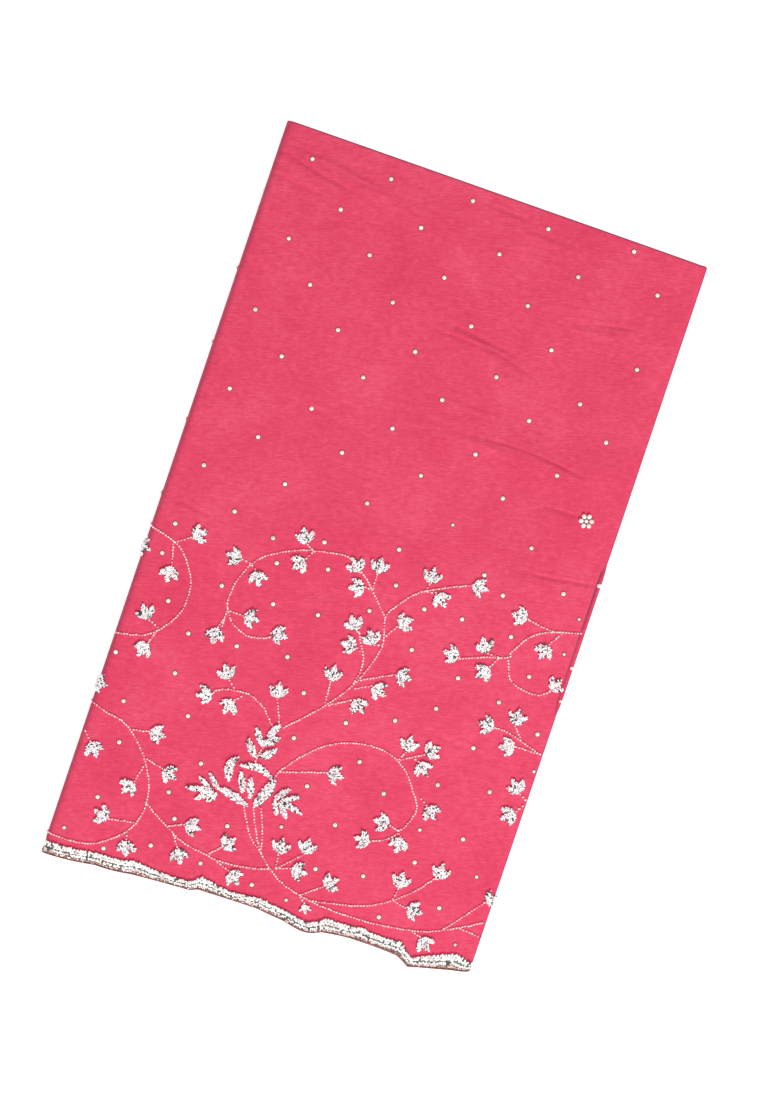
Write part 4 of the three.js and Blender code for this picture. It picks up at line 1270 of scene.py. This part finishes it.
@dataclass(frozen=True)
class Leaf:
    """The outline of one petal or leaf: blunt at its foot, pointed at its tip, bowed to one side."""

    foot: Points
    tip: Points
    width: float
    bow: float = 0.0  # how far its rib bows to the left of the way from foot to tip
    skew: float = 1.05  # above 1 the leaf is widest nearer to its tip
    fullness: float = 0.48  # the less, the blunter its ends
    slant: float = 0.6  # radians between its rib and its beads

    @cached_property
    def rib(self) -> Points:
        """The way from foot to tip."""
        return self.tip - self.foot

    @cached_property
    def length(self) -> float:
        """Its length."""
        return float(np.hypot(*self.rib))

    @cached_property
    def side_way(self) -> Points:
        """The direction to its left."""
        return np.array([-self.rib[1], self.rib[0]]) / self.length

    def half_width(self, share: Points) -> Points:
        """Half its width at each share of its length."""
        swell = np.sin(np.pi * np.clip(share, 0, 1) ** self.skew)
        return self.width / 2 * np.maximum(swell, 0) ** self.fullness

    def place(self, share: Points, side: Points) -> Points:
        """The place at each share of the length and of the half width."""
        aside = self.bow * 4 * share * (1 - share) + side * self.half_width(share)
        return self.foot + share[:, None] * self.rib + aside[:, None] * self.side_way

    def reach(self, places: Points) -> tuple[Points, Points]:
        """How deep places lie inside the leaf, and how a bead lies there.

        Args:
            places: lengths of cloth across and along.

        Returns:
            For each place its depth inside the outline, zero or less outside, and a heading that
            slants from the rib outwards.
        """
        offset = places - self.foot
        share = offset @ self.rib / self.length**2
        aside = offset @ self.side_way - self.bow * 4 * share * (1 - share)
        turn = math.atan2(self.rib[1], self.rib[0]) + np.arctan(self.bow * 4 * (1 - 2 * share) / self.length)
        return self.half_width(share) - np.abs(aside), turn + np.sign(aside) * self.slant


@dataclass
class Embroidery:
    """The beads that lie on the top stretch, charted in squares."""

    form: FoldedSaree
    face: ClothFace
    cut_bead: tuple[float, float, float] = (1.58, 1.0, 1.05)
    fill_pitch: float = 1.42  # spacing of the beads that fill a leaf
    fill_rows: float = 0.88  # spacing of their rows, as a share of that
    fill_scatter: float = 0.24
    fill_rim: float = 0.3  # how far inside the outline the outermost beads lie
    fill_turn: float = 0.55  # how far headings wander, in radians
    tip_bead: float = 1.9
    tip_at: float = 0.95  # where it lies, as a share of the leaf's length
    tip_rise: float = 0.2
    rise_scatter: float = 0.35
    pad_height: float = 0.75
    pad_sink: float = 0.25
    pad_share: float = 0.86  # width of a pad as a share of its leaf's
    pad_ends: tuple[float, float] = (0.04, 0.96)  # where it starts and ends along its leaf
    mound: float = 1.9  # depth inside a leaf at which its beads lie highest
    vine_pitch: float = 2.3
    vine_inset: float = 0.3  # room before the first bead, in pitches
    vine_scatter: float = 0.13
    vine_turn: float = 0.16  # how far headings wander, in radians
    stem_back: float = 0.8  # squares behind a flower's middle at which its stem ends
    vine_bead: tuple[float, float, float] = (1.68, 1.3, 1.12)
    dot: float = 3.3
    dot_height: float = 0.75
    dot_lift: float = 0.1
    seed_bead: tuple[float, float, float] = (1.4, 1.4, 1.0)
    seed_at: float = 0.7  # how high it sits in its sequin, as a share of the sequin's height
    # The dark thread rings round the dots are painted shade for the shadow round each sequin.
    ring: tuple[float, float, float] = (4.5, 4.5, 0.3)
    ring_least: float = 0.35  # share of its width that a ring would keep round the smallest dot
    ring_sink: float = 0.08
    pearl: tuple[float, float, float] = (3.9, 3.432, 2.34)
    pearl_middle: float = 0.8  # the rosette's dark thread, painted shade between its beads
    pearl_out: float = 4.1  # from the middle of the rosette to its outer beads
    pearls: int = 6
    pearl_turn: float = 0.25
    ground: tuple[float, float, float] = (9.02, 9.02, 0.9)  # the rosette's thread
    ground_sink: float = 0.3
    edge_reach: tuple[float, float] = (0.72, 1.3)  # beads go this far over the last fold and the right roll
    rosette: tuple[float, float] = (40.95, 28.4)
    # Petals of a flower in squares: foot ahead and aside of its middle, tip ahead and aside, width.
    petals = table("foot, foot_aside, tip, tip_aside, width", [
        (-0.74, 0.0, 0.86, 0.0, 0.78), (-0.7, -0.06, 0.32, -0.9, 0.7), (-0.7, 0.06, 0.32, 0.9, 0.7),
    ])

    def on_cloth(self, places: Points) -> Points:
        """Chart squares as lengths of cloth across and along."""
        return np.column_stack([self.form.x_of(places[:, 0]), self.form.y_of(places[:, 1])])

    def within(self, spots: np.recarray) -> np.recarray:
        """The spots that lie on the cloth's face, up to the turn of its folds."""
        right = self.face.right(spots.along) + self.form.roll * self.edge_reach[1]
        left = self.face.left - self.face.fold_arcs[0][-1] * self.edge_reach[0]
        return spots[(spots.across < right) & (spots.across > left)]

    @cached_property
    def flowers(self) -> list[list[Leaf]]:
        """The flowers, each a patch of three petals."""
        patches = []
        for flower in FLOWERS:
            turn = math.radians(flower.turn)
            square = self.form.square * flower["size"]
            ahead = np.array([math.cos(turn), math.sin(turn)]) * square
            aside = np.array([-ahead[1], ahead[0]])
            middle = self.on_cloth(np.array([[flower.column, flower.row]]))[0]
            patches.append([
                Leaf(middle + ahead * petal.foot + aside * petal.foot_aside,
                     middle + ahead * petal.tip + aside * petal.tip_aside, petal.width * square)
                for petal in self.petals])
        return patches

    @cached_property
    def leaves(self) -> list[list[Leaf]]:
        """The lotus and its leaf sprays, each leaf a patch of its own."""
        patches = []
        for leaf in LEAF_SHAPES:
            foot, tip = self.on_cloth(np.array([[leaf.column, leaf.row], [leaf.tip_column, leaf.tip_row]]))
            patches.append([Leaf(foot, tip, leaf.width * self.form.square, leaf.bow * self.form.square)])
        return patches

    def fill(self, patches: list[list[Leaf]], tray: BeadTray) -> None:
        """Fills patches with short beads, thrown together closely, highest along the middle.

        Args:
            patches: leaves that lie side by side, patch by patch.
            tray: the tray that the beads are laid out on.
        """
        for patch in patches:
            ends = np.array([end for leaf in patch for end in (leaf.foot, leaf.tip)])
            margin = max(leaf.width / 2 + abs(leaf.bow) for leaf in patch)
            low, high = ends.min(axis=0) - margin, ends.max(axis=0) + margin
            pitch = self.fill_pitch
            rows = np.arange(low[1], high[1], pitch * self.fill_rows)
            across = np.arange(low[0], high[0], pitch)
            places = np.array([(x + pitch / 2 * (k % 2), y) for k, y in enumerate(rows) for x in across])
            places = places + tray.chance.uniform(-self.fill_scatter, self.fill_scatter, places.shape)
            depth, heading = np.array([leaf.reach(places) for leaf in patch]).transpose(1, 0, 2)
            nearest = depth.argmax(axis=0), np.arange(len(places))
            depth, heading = depth[nearest], heading[nearest]
            inside = depth > self.fill_rim
            places, depth, heading = places[inside], depth[inside], heading[inside]
            tips = np.array([leaf.foot + leaf.rib * self.tip_at for leaf in patch])
            ribs = [leaf.rib @ [1, 1j] for leaf in patch]
            places = np.vstack([places, tips])
            heading = np.concatenate([heading, np.angle(ribs)])
            heading = heading + tray.chance.normal(0, self.fill_turn, len(heading))
            length = np.repeat([self.cut_bead[0], self.tip_bead], [len(depth), len(tips)])
            length = length * tray.chance.uniform(*BEAD_LENGTHS, len(length))
            mound = np.sqrt(np.clip(depth / self.mound, 0, 1))
            rise = np.concatenate([mound, np.full(len(tips), self.tip_rise)])
            rise = rise * self.pad_height + tray.chance.uniform(0, self.rise_scatter, len(rise))
            section = np.tile(self.cut_bead[1:], (len(rise), 1))
            spots = np.column_stack([places, heading, length, section, rise])
            tray.lay_on(self.face, self.within(table(SPOT, spots.tolist())))

    def sew_pads(self) -> bpy.types.Object:
        """Lays a low pad of dark thread under each leaf and petal, seen between its beads as painted shade.
        """
        places, faces = BeadModel(BeadShape.ROUND).template()
        x, y, z = places.T
        side = y / np.sqrt(np.maximum(0.25 - x**2, 1e-4)) * self.pad_share
        rise = np.where(z > 0, 2 * z * self.pad_height, 2 * z * self.pad_sink)
        leaves = [leaf for patch in self.flowers + self.leaves for leaf in patch]
        share = mix(*self.pad_ends, x + 0.5)
        spots = np.concatenate([leaf.place(share, side) for leaf in leaves])
        spots[:, 0] = np.minimum(spots[:, 0], self.face.right(spots[:, 1]) + self.form.roll)
        point, _, _, out = self.face.axes(*spots.T)
        point = point + out * np.tile(rise, len(leaves))[:, None]
        pads = joined_mesh("bead_shade_pads", self.form.in_frame(point), faces, len(leaves))
        pads.data.polygons.foreach_set("use_smooth", np.full(len(pads.data.polygons), True))
        dress(pads, "bead_shade_pads", OLIVE_SHADE_THREAD)
        return pads

    @staticmethod
    def smooth_line(knots: Points, steps: int = 12) -> Points:
        """A smooth line through its knots, as closely spaced points."""
        ends = np.vstack([2 * knots[0] - knots[1], knots, 2 * knots[-1] - knots[-2]])
        share = np.linspace(0, 1, steps, endpoint=False)[:, None]
        runs = []
        for a, b, c, d in zip(ends, ends[1:], ends[2:], ends[3:]):
            bend = 2 * a - 5 * b + 4 * c - d
            twist = 3 * b - a - 3 * c + d
            runs.append(0.5 * (2 * b + (c - a) * share + bend * share**2 + twist * share**3))
        return np.vstack([*runs, knots[-1:]])

    def vines(self, tray: BeadTray) -> None:
        """Lays the vines, and a stem from each flower to its vine."""
        lines = [np.array(vine) for vine in VINES]
        for flower in FLOWERS:
            turn, back = math.radians(flower.turn), self.stem_back * flower["size"]
            foot = (flower.column - back * math.cos(turn), flower.row + back * math.sin(turn))
            lines.append(np.array([foot, (flower.stem_column, flower.stem_row)]))
        spots = []
        for line in lines:
            path = self.smooth_line(self.on_cloth(line))
            run = np.concatenate([[0.0], np.cumsum(np.hypot(*np.diff(path, axis=0).T))])
            inset = self.vine_inset * self.vine_pitch
            at = np.linspace(inset, run[-1] - inset, max(2, round(run[-1] / self.vine_pitch)))
            middle = np.column_stack([np.interp(at, run, column) for column in path.T])
            middle = middle + tray.chance.normal(0, self.vine_scatter, middle.shape)
            before = np.column_stack([np.interp(at - 0.5, run, column) for column in path.T])
            after = np.column_stack([np.interp(at + 0.5, run, column) for column in path.T])
            heading = np.arctan2(*(after - before).T[::-1])
            heading = heading + tray.chance.normal(0, self.vine_turn, len(at))
            length = self.vine_bead[0] * tray.chance.uniform(*BEAD_LENGTHS, len(at))
            spots += [(*m, h, long, *self.vine_bead[1:], 0.0) for m, h, long in zip(middle, heading, length)]
        tray.lay_on(self.face, self.within(table(SPOT, spots)))

    def lay_dots(self, chart: np.recarray, face: ClothFace, cups: BeadTray, seeds: BeadTray) -> None:
        """Lays the dots, each a sequin held down by one small bead.

        Args:
            chart: their squares and sizes.
            face: the cloth that they lie on.
            cups: the tray of sequins.
            seeds: the tray of small beads.
        """
        middle = self.on_cloth(np.column_stack([chart.column, chart.row]))
        heading = cups.chance.uniform(0, np.pi, len(chart))
        cup, seed = [], []
        for (x, y), turn, size in zip(middle, heading, chart["size"]):
            wide = self.dot * size
            bead = (part * size for part in self.seed_bead)
            cup.append((x, y, turn, wide, wide, self.dot_height, self.dot_lift))
            seed.append((x, y, turn, *bead, self.dot_height * self.seed_at))
        cups.lay_on(face, table(SPOT, cup))
        seeds.lay_on(face, table(SPOT, seed))

    def lay_rings(self, tray: BeadTray) -> None:
        """Lays the dark thread round each dot and the thread ground of the rosette, painted shade round the
        sequins and between the rosette's beads.
        """
        length, width, height = self.ring
        spots = []
        for dot in DOTS:
            share = mix(self.ring_least, 1, dot["size"])
            middle = self.on_cloth(np.array([[dot.column, dot.row]]))[0]
            spots.append((*middle, 0.0, length * share, width * share, height, -self.ring_sink))
        middle = self.on_cloth(np.array([self.rosette]))[0]
        spots.append((*middle, 0.0, *self.ground, -self.ground_sink))
        tray.lay_on(self.face, table(SPOT, spots))

    def rosette_beads(self, tray: BeadTray) -> None:
        """Lays the rosette: one round bead with six more around it."""
        middle = self.on_cloth(np.array([self.rosette]))[0]
        spots = [(*middle, 0.0, *(part * self.pearl_middle for part in self.pearl), 0.0)]
        for k in range(self.pearls):
            angle = 2 * math.pi * k / self.pearls + self.pearl_turn
            out = np.array([math.cos(angle), math.sin(angle)]) * self.pearl_out
            spots.append((*(middle + out), angle, *self.pearl, 0.0))
        tray.lay_on(self.face, table(SPOT, spots))


@dataclass
class Edging:
    """The beaded edging of a hem: a backing strip, rows of short cut beads and the rolled edge."""

    form: FoldedSaree
    face: ClothFace
    pitch: float = 1.36
    bead: float = 1.16
    backing_wall: float = 0.4
    cord: float = 0.7  # radius of the rolled edge, 0 at both ends
    cord_lift: float = 0.6  # height of its middle above the cloth, in radii
    cord_share: float = -0.01
    cord_sides: int = 6
    end_out: float = 0.7  # how far past the right shoulder the beads go on
    backing_out: float = 1.2  # how far past it the backing goes on
    fold_reach: float = 0.8  # share of the last fold that the edging goes round
    row_shift: float = 0.4  # how far each row starts after the last, in pitches
    scatter: float = 0.32
    turn: float = 0.36  # how far headings wander, in radians
    lift_scatter: float = 0.35
    # Lines of the backing: share of the way from the cloth's edge to the inner line, and rise.
    section = table("share, rise", [
        (0.04, 0.08), (0.1, 0.35), (0.35, 0.5), (0.7, 0.5), (0.93, 0.35), (0.99, 0.08),
    ])
    # Rows of beads: share of the width at the row's middle, its length as a share, slant in degrees, lift.
    rows = table("share, length, slant, lift", [
        (0.85, 0.3, 24, 0.4), (0.67, 0.24, -34, 0.75), (0.36, 0.22, 30, 0.6),
    ])
    dull_rows = table("share, length, slant, lift", [(0.17, 0.18, -30, 0.4)])

    def run(self) -> Points:
        """Evenly spaced lengths of cloth across, from under the last fold to the right fold."""
        start = self.face.left - self.face.fold_arcs[0][-1] * self.fold_reach
        return np.arange(start, self.form.right_shoulder + self.backing_out, self.pitch)

    def between(self, across: Points, share: Points) -> Points:
        """The place along at a share of the way from the cloth's edge to the inner line."""
        return mix(self.form.hem_edge(across), self.form.border_inner(across), share)

    def build_backing(self) -> bpy.types.Object:
        """Shapes a flat grid into the strip of laid thread under the beads."""
        across, section = self.run(), self.section
        strip, i, j = add_grid(len(across), len(section))
        along = self.between(across[i], section.share[j])
        point, _, _, out = self.face.axes(across[i], along)
        rise = (section.rise[j] + self.backing_wall)[:, None]
        move_corners(strip, self.form.in_frame(point + out * rise))
        give_wall(strip, self.backing_wall)
        return strip

    def build_cord(self, across: Points, along: Points) -> bpy.types.Object:
        """Draws a ball out into the rolled edge of a hem, a thin closed cord.

        Args:
            across: where it runs, in lengths of cloth across.
            along: the same along.

        Returns:
            The cord.
        """
        tube, level, angle = add_ball(self.cord_sides, len(across) - 1)
        point, _, v, out = self.face.axes(across[level], along[level])
        thick = np.full(len(across), self.cord)
        thick[[0, -1]] = 0
        aside = v * np.cos(angle)[:, None] - out * np.sin(angle)[:, None]
        point = point + out * self.cord * self.cord_lift + aside * thick[level][:, None]
        move_corners(tube, self.form.in_frame(point))
        bpy.ops.object.shade_smooth_by_angle(angle=SHARP_TURN)
        return tube

    def lay_rows(self, rows: np.recarray, tray: BeadTray) -> None:
        """Lays rows of beads, each bead slanting against the next.

        Args:
            rows: the rows.
            tray: the tray that the beads are laid out on.
        """
        spots = []
        for shift, row in enumerate(rows):
            across = self.run() + shift * self.pitch * self.row_shift
            across = across[across < self.form.right_shoulder + self.end_out]
            count = len(across)
            width = self.between(across, 1.0) - self.between(across, 0.0)
            middle = self.between(across, row.share) + tray.chance.normal(0, self.scatter, count)
            lean = np.where(np.arange(count) % 2, row.slant, -row.slant * 0.5)
            heading = np.radians(90 + lean) + tray.chance.normal(0, self.turn, count)
            length = width * row.length * tray.chance.uniform(*BEAD_LENGTHS, count)
            lift = row.lift + tray.chance.uniform(0, self.lift_scatter, count)
            size = np.full(count, self.bead)
            spots.append(np.column_stack([across, middle, heading, length, size, size, lift]))
        tray.lay_on(self.face, table(SPOT, np.concatenate(spots).tolist()))


@dataclass
class SecondEdging(Edging):
    """The same edging on the next stretch, of which only the outermost row shows."""

    first_column: float = 12.0
    last_column: float = 43.0
    row_in: float = 0.7  # how far inside the hem its outermost beads lie
    row_length: float = 1.8
    row_scatter: float = 0.15
    row_turn: float = 0.4
    row_press: float = 0.8  # height of its beads as a share of their width

    def lay_row(self, tray: BeadTray) -> None:
        """Lays the row of short beads along the hem."""
        across = np.arange(self.form.x_of(self.first_column), self.form.x_of(self.last_column), self.pitch)
        along = self.face.hem(across) + self.row_in + tray.chance.normal(0, self.row_scatter, len(across))
        heading = np.pi / 2 + tray.chance.normal(0, self.row_turn, len(across))
        size = np.full(len(across), self.bead)
        length = self.row_length * tray.chance.uniform(*BEAD_LENGTHS, len(across))
        spots = np.column_stack([across, along, heading, length, size, size * self.row_press, 0 * size])
        tray.lay_on(self.face, table(SPOT, spots.tolist()))


# ---------------------------------------------------------------------------------------------
# Studio
# ---------------------------------------------------------------------------------------------
@dataclass(frozen=True)
class Studio:
    """A white light table, soft light from all round, a far large lamp and a camera straight above."""

    form: FoldedSaree
    lens: float = 100.0
    turn: float = 18.65  # degrees by which the saree lies askew to the camera
    distance: float = 2385.0
    aim: tuple[float, float] = (9.40, 6.24)
    sky: float = 0.52
    lamp_power: float = 490.0
    lamp_size: float = 1.9
    lamp_place: tuple[float, float, float] = (3.4, -5.1, 4.4)
    table_size: float = 8.0
    table_rise: float = 0.05  # parts the table from the saree's flat underside, so the two don't flicker
    table_colour: str = "#C4C4C4"
    table_glow: float = 0.84

    def camera(self) -> None:
        """Sets the camera straight above the saree."""
        data = bpy.data.cameras.new("camera")
        data.lens = self.lens
        data.sensor_width = 36.0
        eye = bpy.data.objects.new("camera", data)
        eye.location = self.form.in_frame(np.array([*self.aim, self.form.crest + self.distance]))
        eye.rotation_euler = (0, 0, math.radians(self.turn))
        bpy.context.scene.collection.objects.link(eye)
        bpy.context.scene.camera = eye

    def light(self) -> None:
        """Lights the saree evenly, a little more from the lower right, low enough to show its creases."""
        scene = bpy.context.scene
        scene.view_settings.view_transform = "Standard"
        world = bpy.data.worlds.new("studio")
        world.use_nodes = True
        world.node_tree.nodes["Background"].inputs["Color"].default_value = (1, 1, 1, 1)
        world.node_tree.nodes["Background"].inputs["Strength"].default_value = self.sky
        scene.world = world
        data = bpy.data.lights.new("lamp", "AREA")
        data.energy = self.lamp_power
        data.size = self.lamp_size
        lamp = bpy.data.objects.new("lamp", data)
        lamp.location = self.lamp_place
        back = np.array(self.lamp_place)
        lamp.rotation_euler = (
            0, math.atan2(math.hypot(back[0], back[1]), back[2]), math.atan2(back[1], back[0]))
        scene.collection.objects.link(lamp)

    def floor(self) -> None:
        """Lays the plain pale table that the saree lies on."""
        table_top = add_primitive(bpy.ops.mesh.primitive_plane_add, size=self.table_size)
        table_top.name = "table_top"
        table_top.location.z = self.table_rise * MM
        material, tree = new_material("white_table")
        close_material(tree, {
            "Base Color": linear(self.table_colour), "Roughness": 0.9,
            "Emission Color": (1, 1, 1, 1), "Emission Strength": self.table_glow})
        table_top.data.materials.append(material)


# ---------------------------------------------------------------------------------------------
# The saree
# ---------------------------------------------------------------------------------------------
@dataclass
class Saree:
    """The folded saree: its stretches of cloth and what is sewn on them."""

    form: FoldedSaree
    left_room: float = 2.2  # how far the last fold's cloth stands out past the stack's rounded side
    second_in: float = 21.0  # how far in from the left the next stretch begins
    second_cord_from: float = 1.0  # how far in from there its cord begins
    second_cord_in: float = 0.2  # how far inside its hem that cord runs
    layer_bead: tuple[float, float, float] = (1.7, 0.8, 0.55)

    @cached_property
    def top_face(self) -> TopFace:
        """The face of the top stretch."""
        form = self.form
        return TopFace(form, left=form.left_shoulder, left_reach=form.left_roll_out + self.left_room)

    @cached_property
    def second_face(self) -> SecondFace:
        """The face of the next stretch."""
        return SecondFace(self.form, left=-self.form.fold_width / 2 + self.second_in)

    def tray(self, shape: BeadShape, seed: int) -> BeadTray:
        """An empty tray for beads of one shape."""
        return BeadTray(self.form, shape, seed)

    def sew_edging(self) -> list[bpy.types.Object]:
        """Sews the edging on the top stretch: its backing, its bright and dull beads and its cord."""
        edging = Edging(self.form, self.top_face)
        backing = edging.build_backing()
        dress(backing, "edging_backing", ASH_THREAD)
        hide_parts("hem_border")
        bright, dull = self.tray(BeadShape.CUT, seed=3), self.tray(BeadShape.CUT, seed=15)
        edging.lay_rows(edging.rows, bright)
        edging.lay_rows(edging.dull_rows, dull)
        beads = [bright.sew("edging_beads", CREAM_GLASS), dull.sew("dull_edging_beads", DUSKY_ROSE_GLASS)]
        across = edging.run()
        cord = edging.build_cord(across, edging.between(across, edging.cord_share))
        dress(cord, "edging_cord", ROSE_BROWN_THREAD)
        return [backing, *beads, cord]

    def sew_second_edging(self) -> list[bpy.types.Object]:
        """Sews the edging on the next stretch, where it shows."""
        edging = SecondEdging(self.form, self.second_face)
        tray = self.tray(BeadShape.CUT, seed=4)
        edging.lay_row(tray)
        beads = tray.sew("second_edging_beads", DUSKY_ROSE_GLASS)
        across = Edging(self.form, self.top_face).run()
        across = across[across > self.second_face.left + self.second_cord_from]
        cord = edging.build_cord(across, self.second_face.hem(across) + self.second_cord_in)
        dress(cord, "second_edging_cord", ROSE_BROWN_THREAD)
        return [beads, cord]

    def sew_embroidery(self) -> list[bpy.types.Object]:
        """Sews on the flowers, the lotus, the vines, the dots and the rosette."""
        embroidery = Embroidery(self.form, self.top_face)
        pads = embroidery.sew_pads()
        flowers, lotus = self.tray(BeadShape.CUT, seed=7), self.tray(BeadShape.CUT, seed=8)
        embroidery.fill(embroidery.flowers, flowers)
        embroidery.fill(embroidery.leaves, lotus)
        vines = self.tray(BeadShape.SEED, seed=9)
        embroidery.vines(vines)
        cups, seeds = self.tray(BeadShape.CUP, seed=10), self.tray(BeadShape.SEED, seed=11)
        embroidery.lay_dots(DOTS, self.top_face, cups, seeds)
        embroidery.lay_dots(EDGE_DOTS, self.second_face, cups, seeds)
        rings, rosette = self.tray(BeadShape.CUP, seed=14), self.tray(BeadShape.ROUND, seed=12)
        embroidery.lay_rings(rings)
        embroidery.rosette_beads(rosette)
        return [
            pads,
            flowers.sew("flower_beads", SILVER_LINED_GLASS),
            lotus.sew("lotus_beads", SILVER_LINED_GLASS),
            vines.sew("vine_beads", BLUSH_GLASS),
            cups.sew("dot_sequins", PEARL_SEQUIN),
            seeds.sew("dot_beads", PEARL_SEQUIN),
            rings.sew("dot_shade_rings", DUSKY_SHADE_THREAD),
            rosette.sew("rosette_beads", PEARL_SEQUIN),
        ]

    def build(self) -> None:
        """Builds the cloth and sews on its beads."""
        top_cloth = ClothSheet(self.top_face, flat_columns=76, flat_rows=440, fold_columns=18).build()
        dress(top_cloth, "top_cloth", PINK_CREPE)
        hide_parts("top_stretch")
        second_cloth = ClothSheet(self.second_face, flat_columns=170, flat_rows=120).build()
        dress(second_cloth, "second_cloth", PINK_CREPE)
        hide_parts("second_stretch")
        stack = LayerStack(self.form)
        layer_stack = stack.build()
        dress(layer_stack, "layer_stack", SHADED_CREPE_EDGES)
        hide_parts("folded_layers")
        edging, second_edging, embroidery = self.sew_edging(), self.sew_second_edging(), self.sew_embroidery()
        tray = self.tray(BeadShape.CUT, seed=13)
        tray.lay(*stack.hem_beads(), np.array(self.layer_bead))
        layer_beads = tray.sew("layer_edging_beads", CREAM_GLASS)


def main() -> None:
    """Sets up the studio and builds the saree."""
    logging.basicConfig(level=logging.INFO, format="%(message)s")
    form = FoldedSaree()
    studio = Studio(form)
    studio.camera()
    studio.light()
    studio.floor()
    Saree(form).build()


if __name__ == "__main__":
    main()
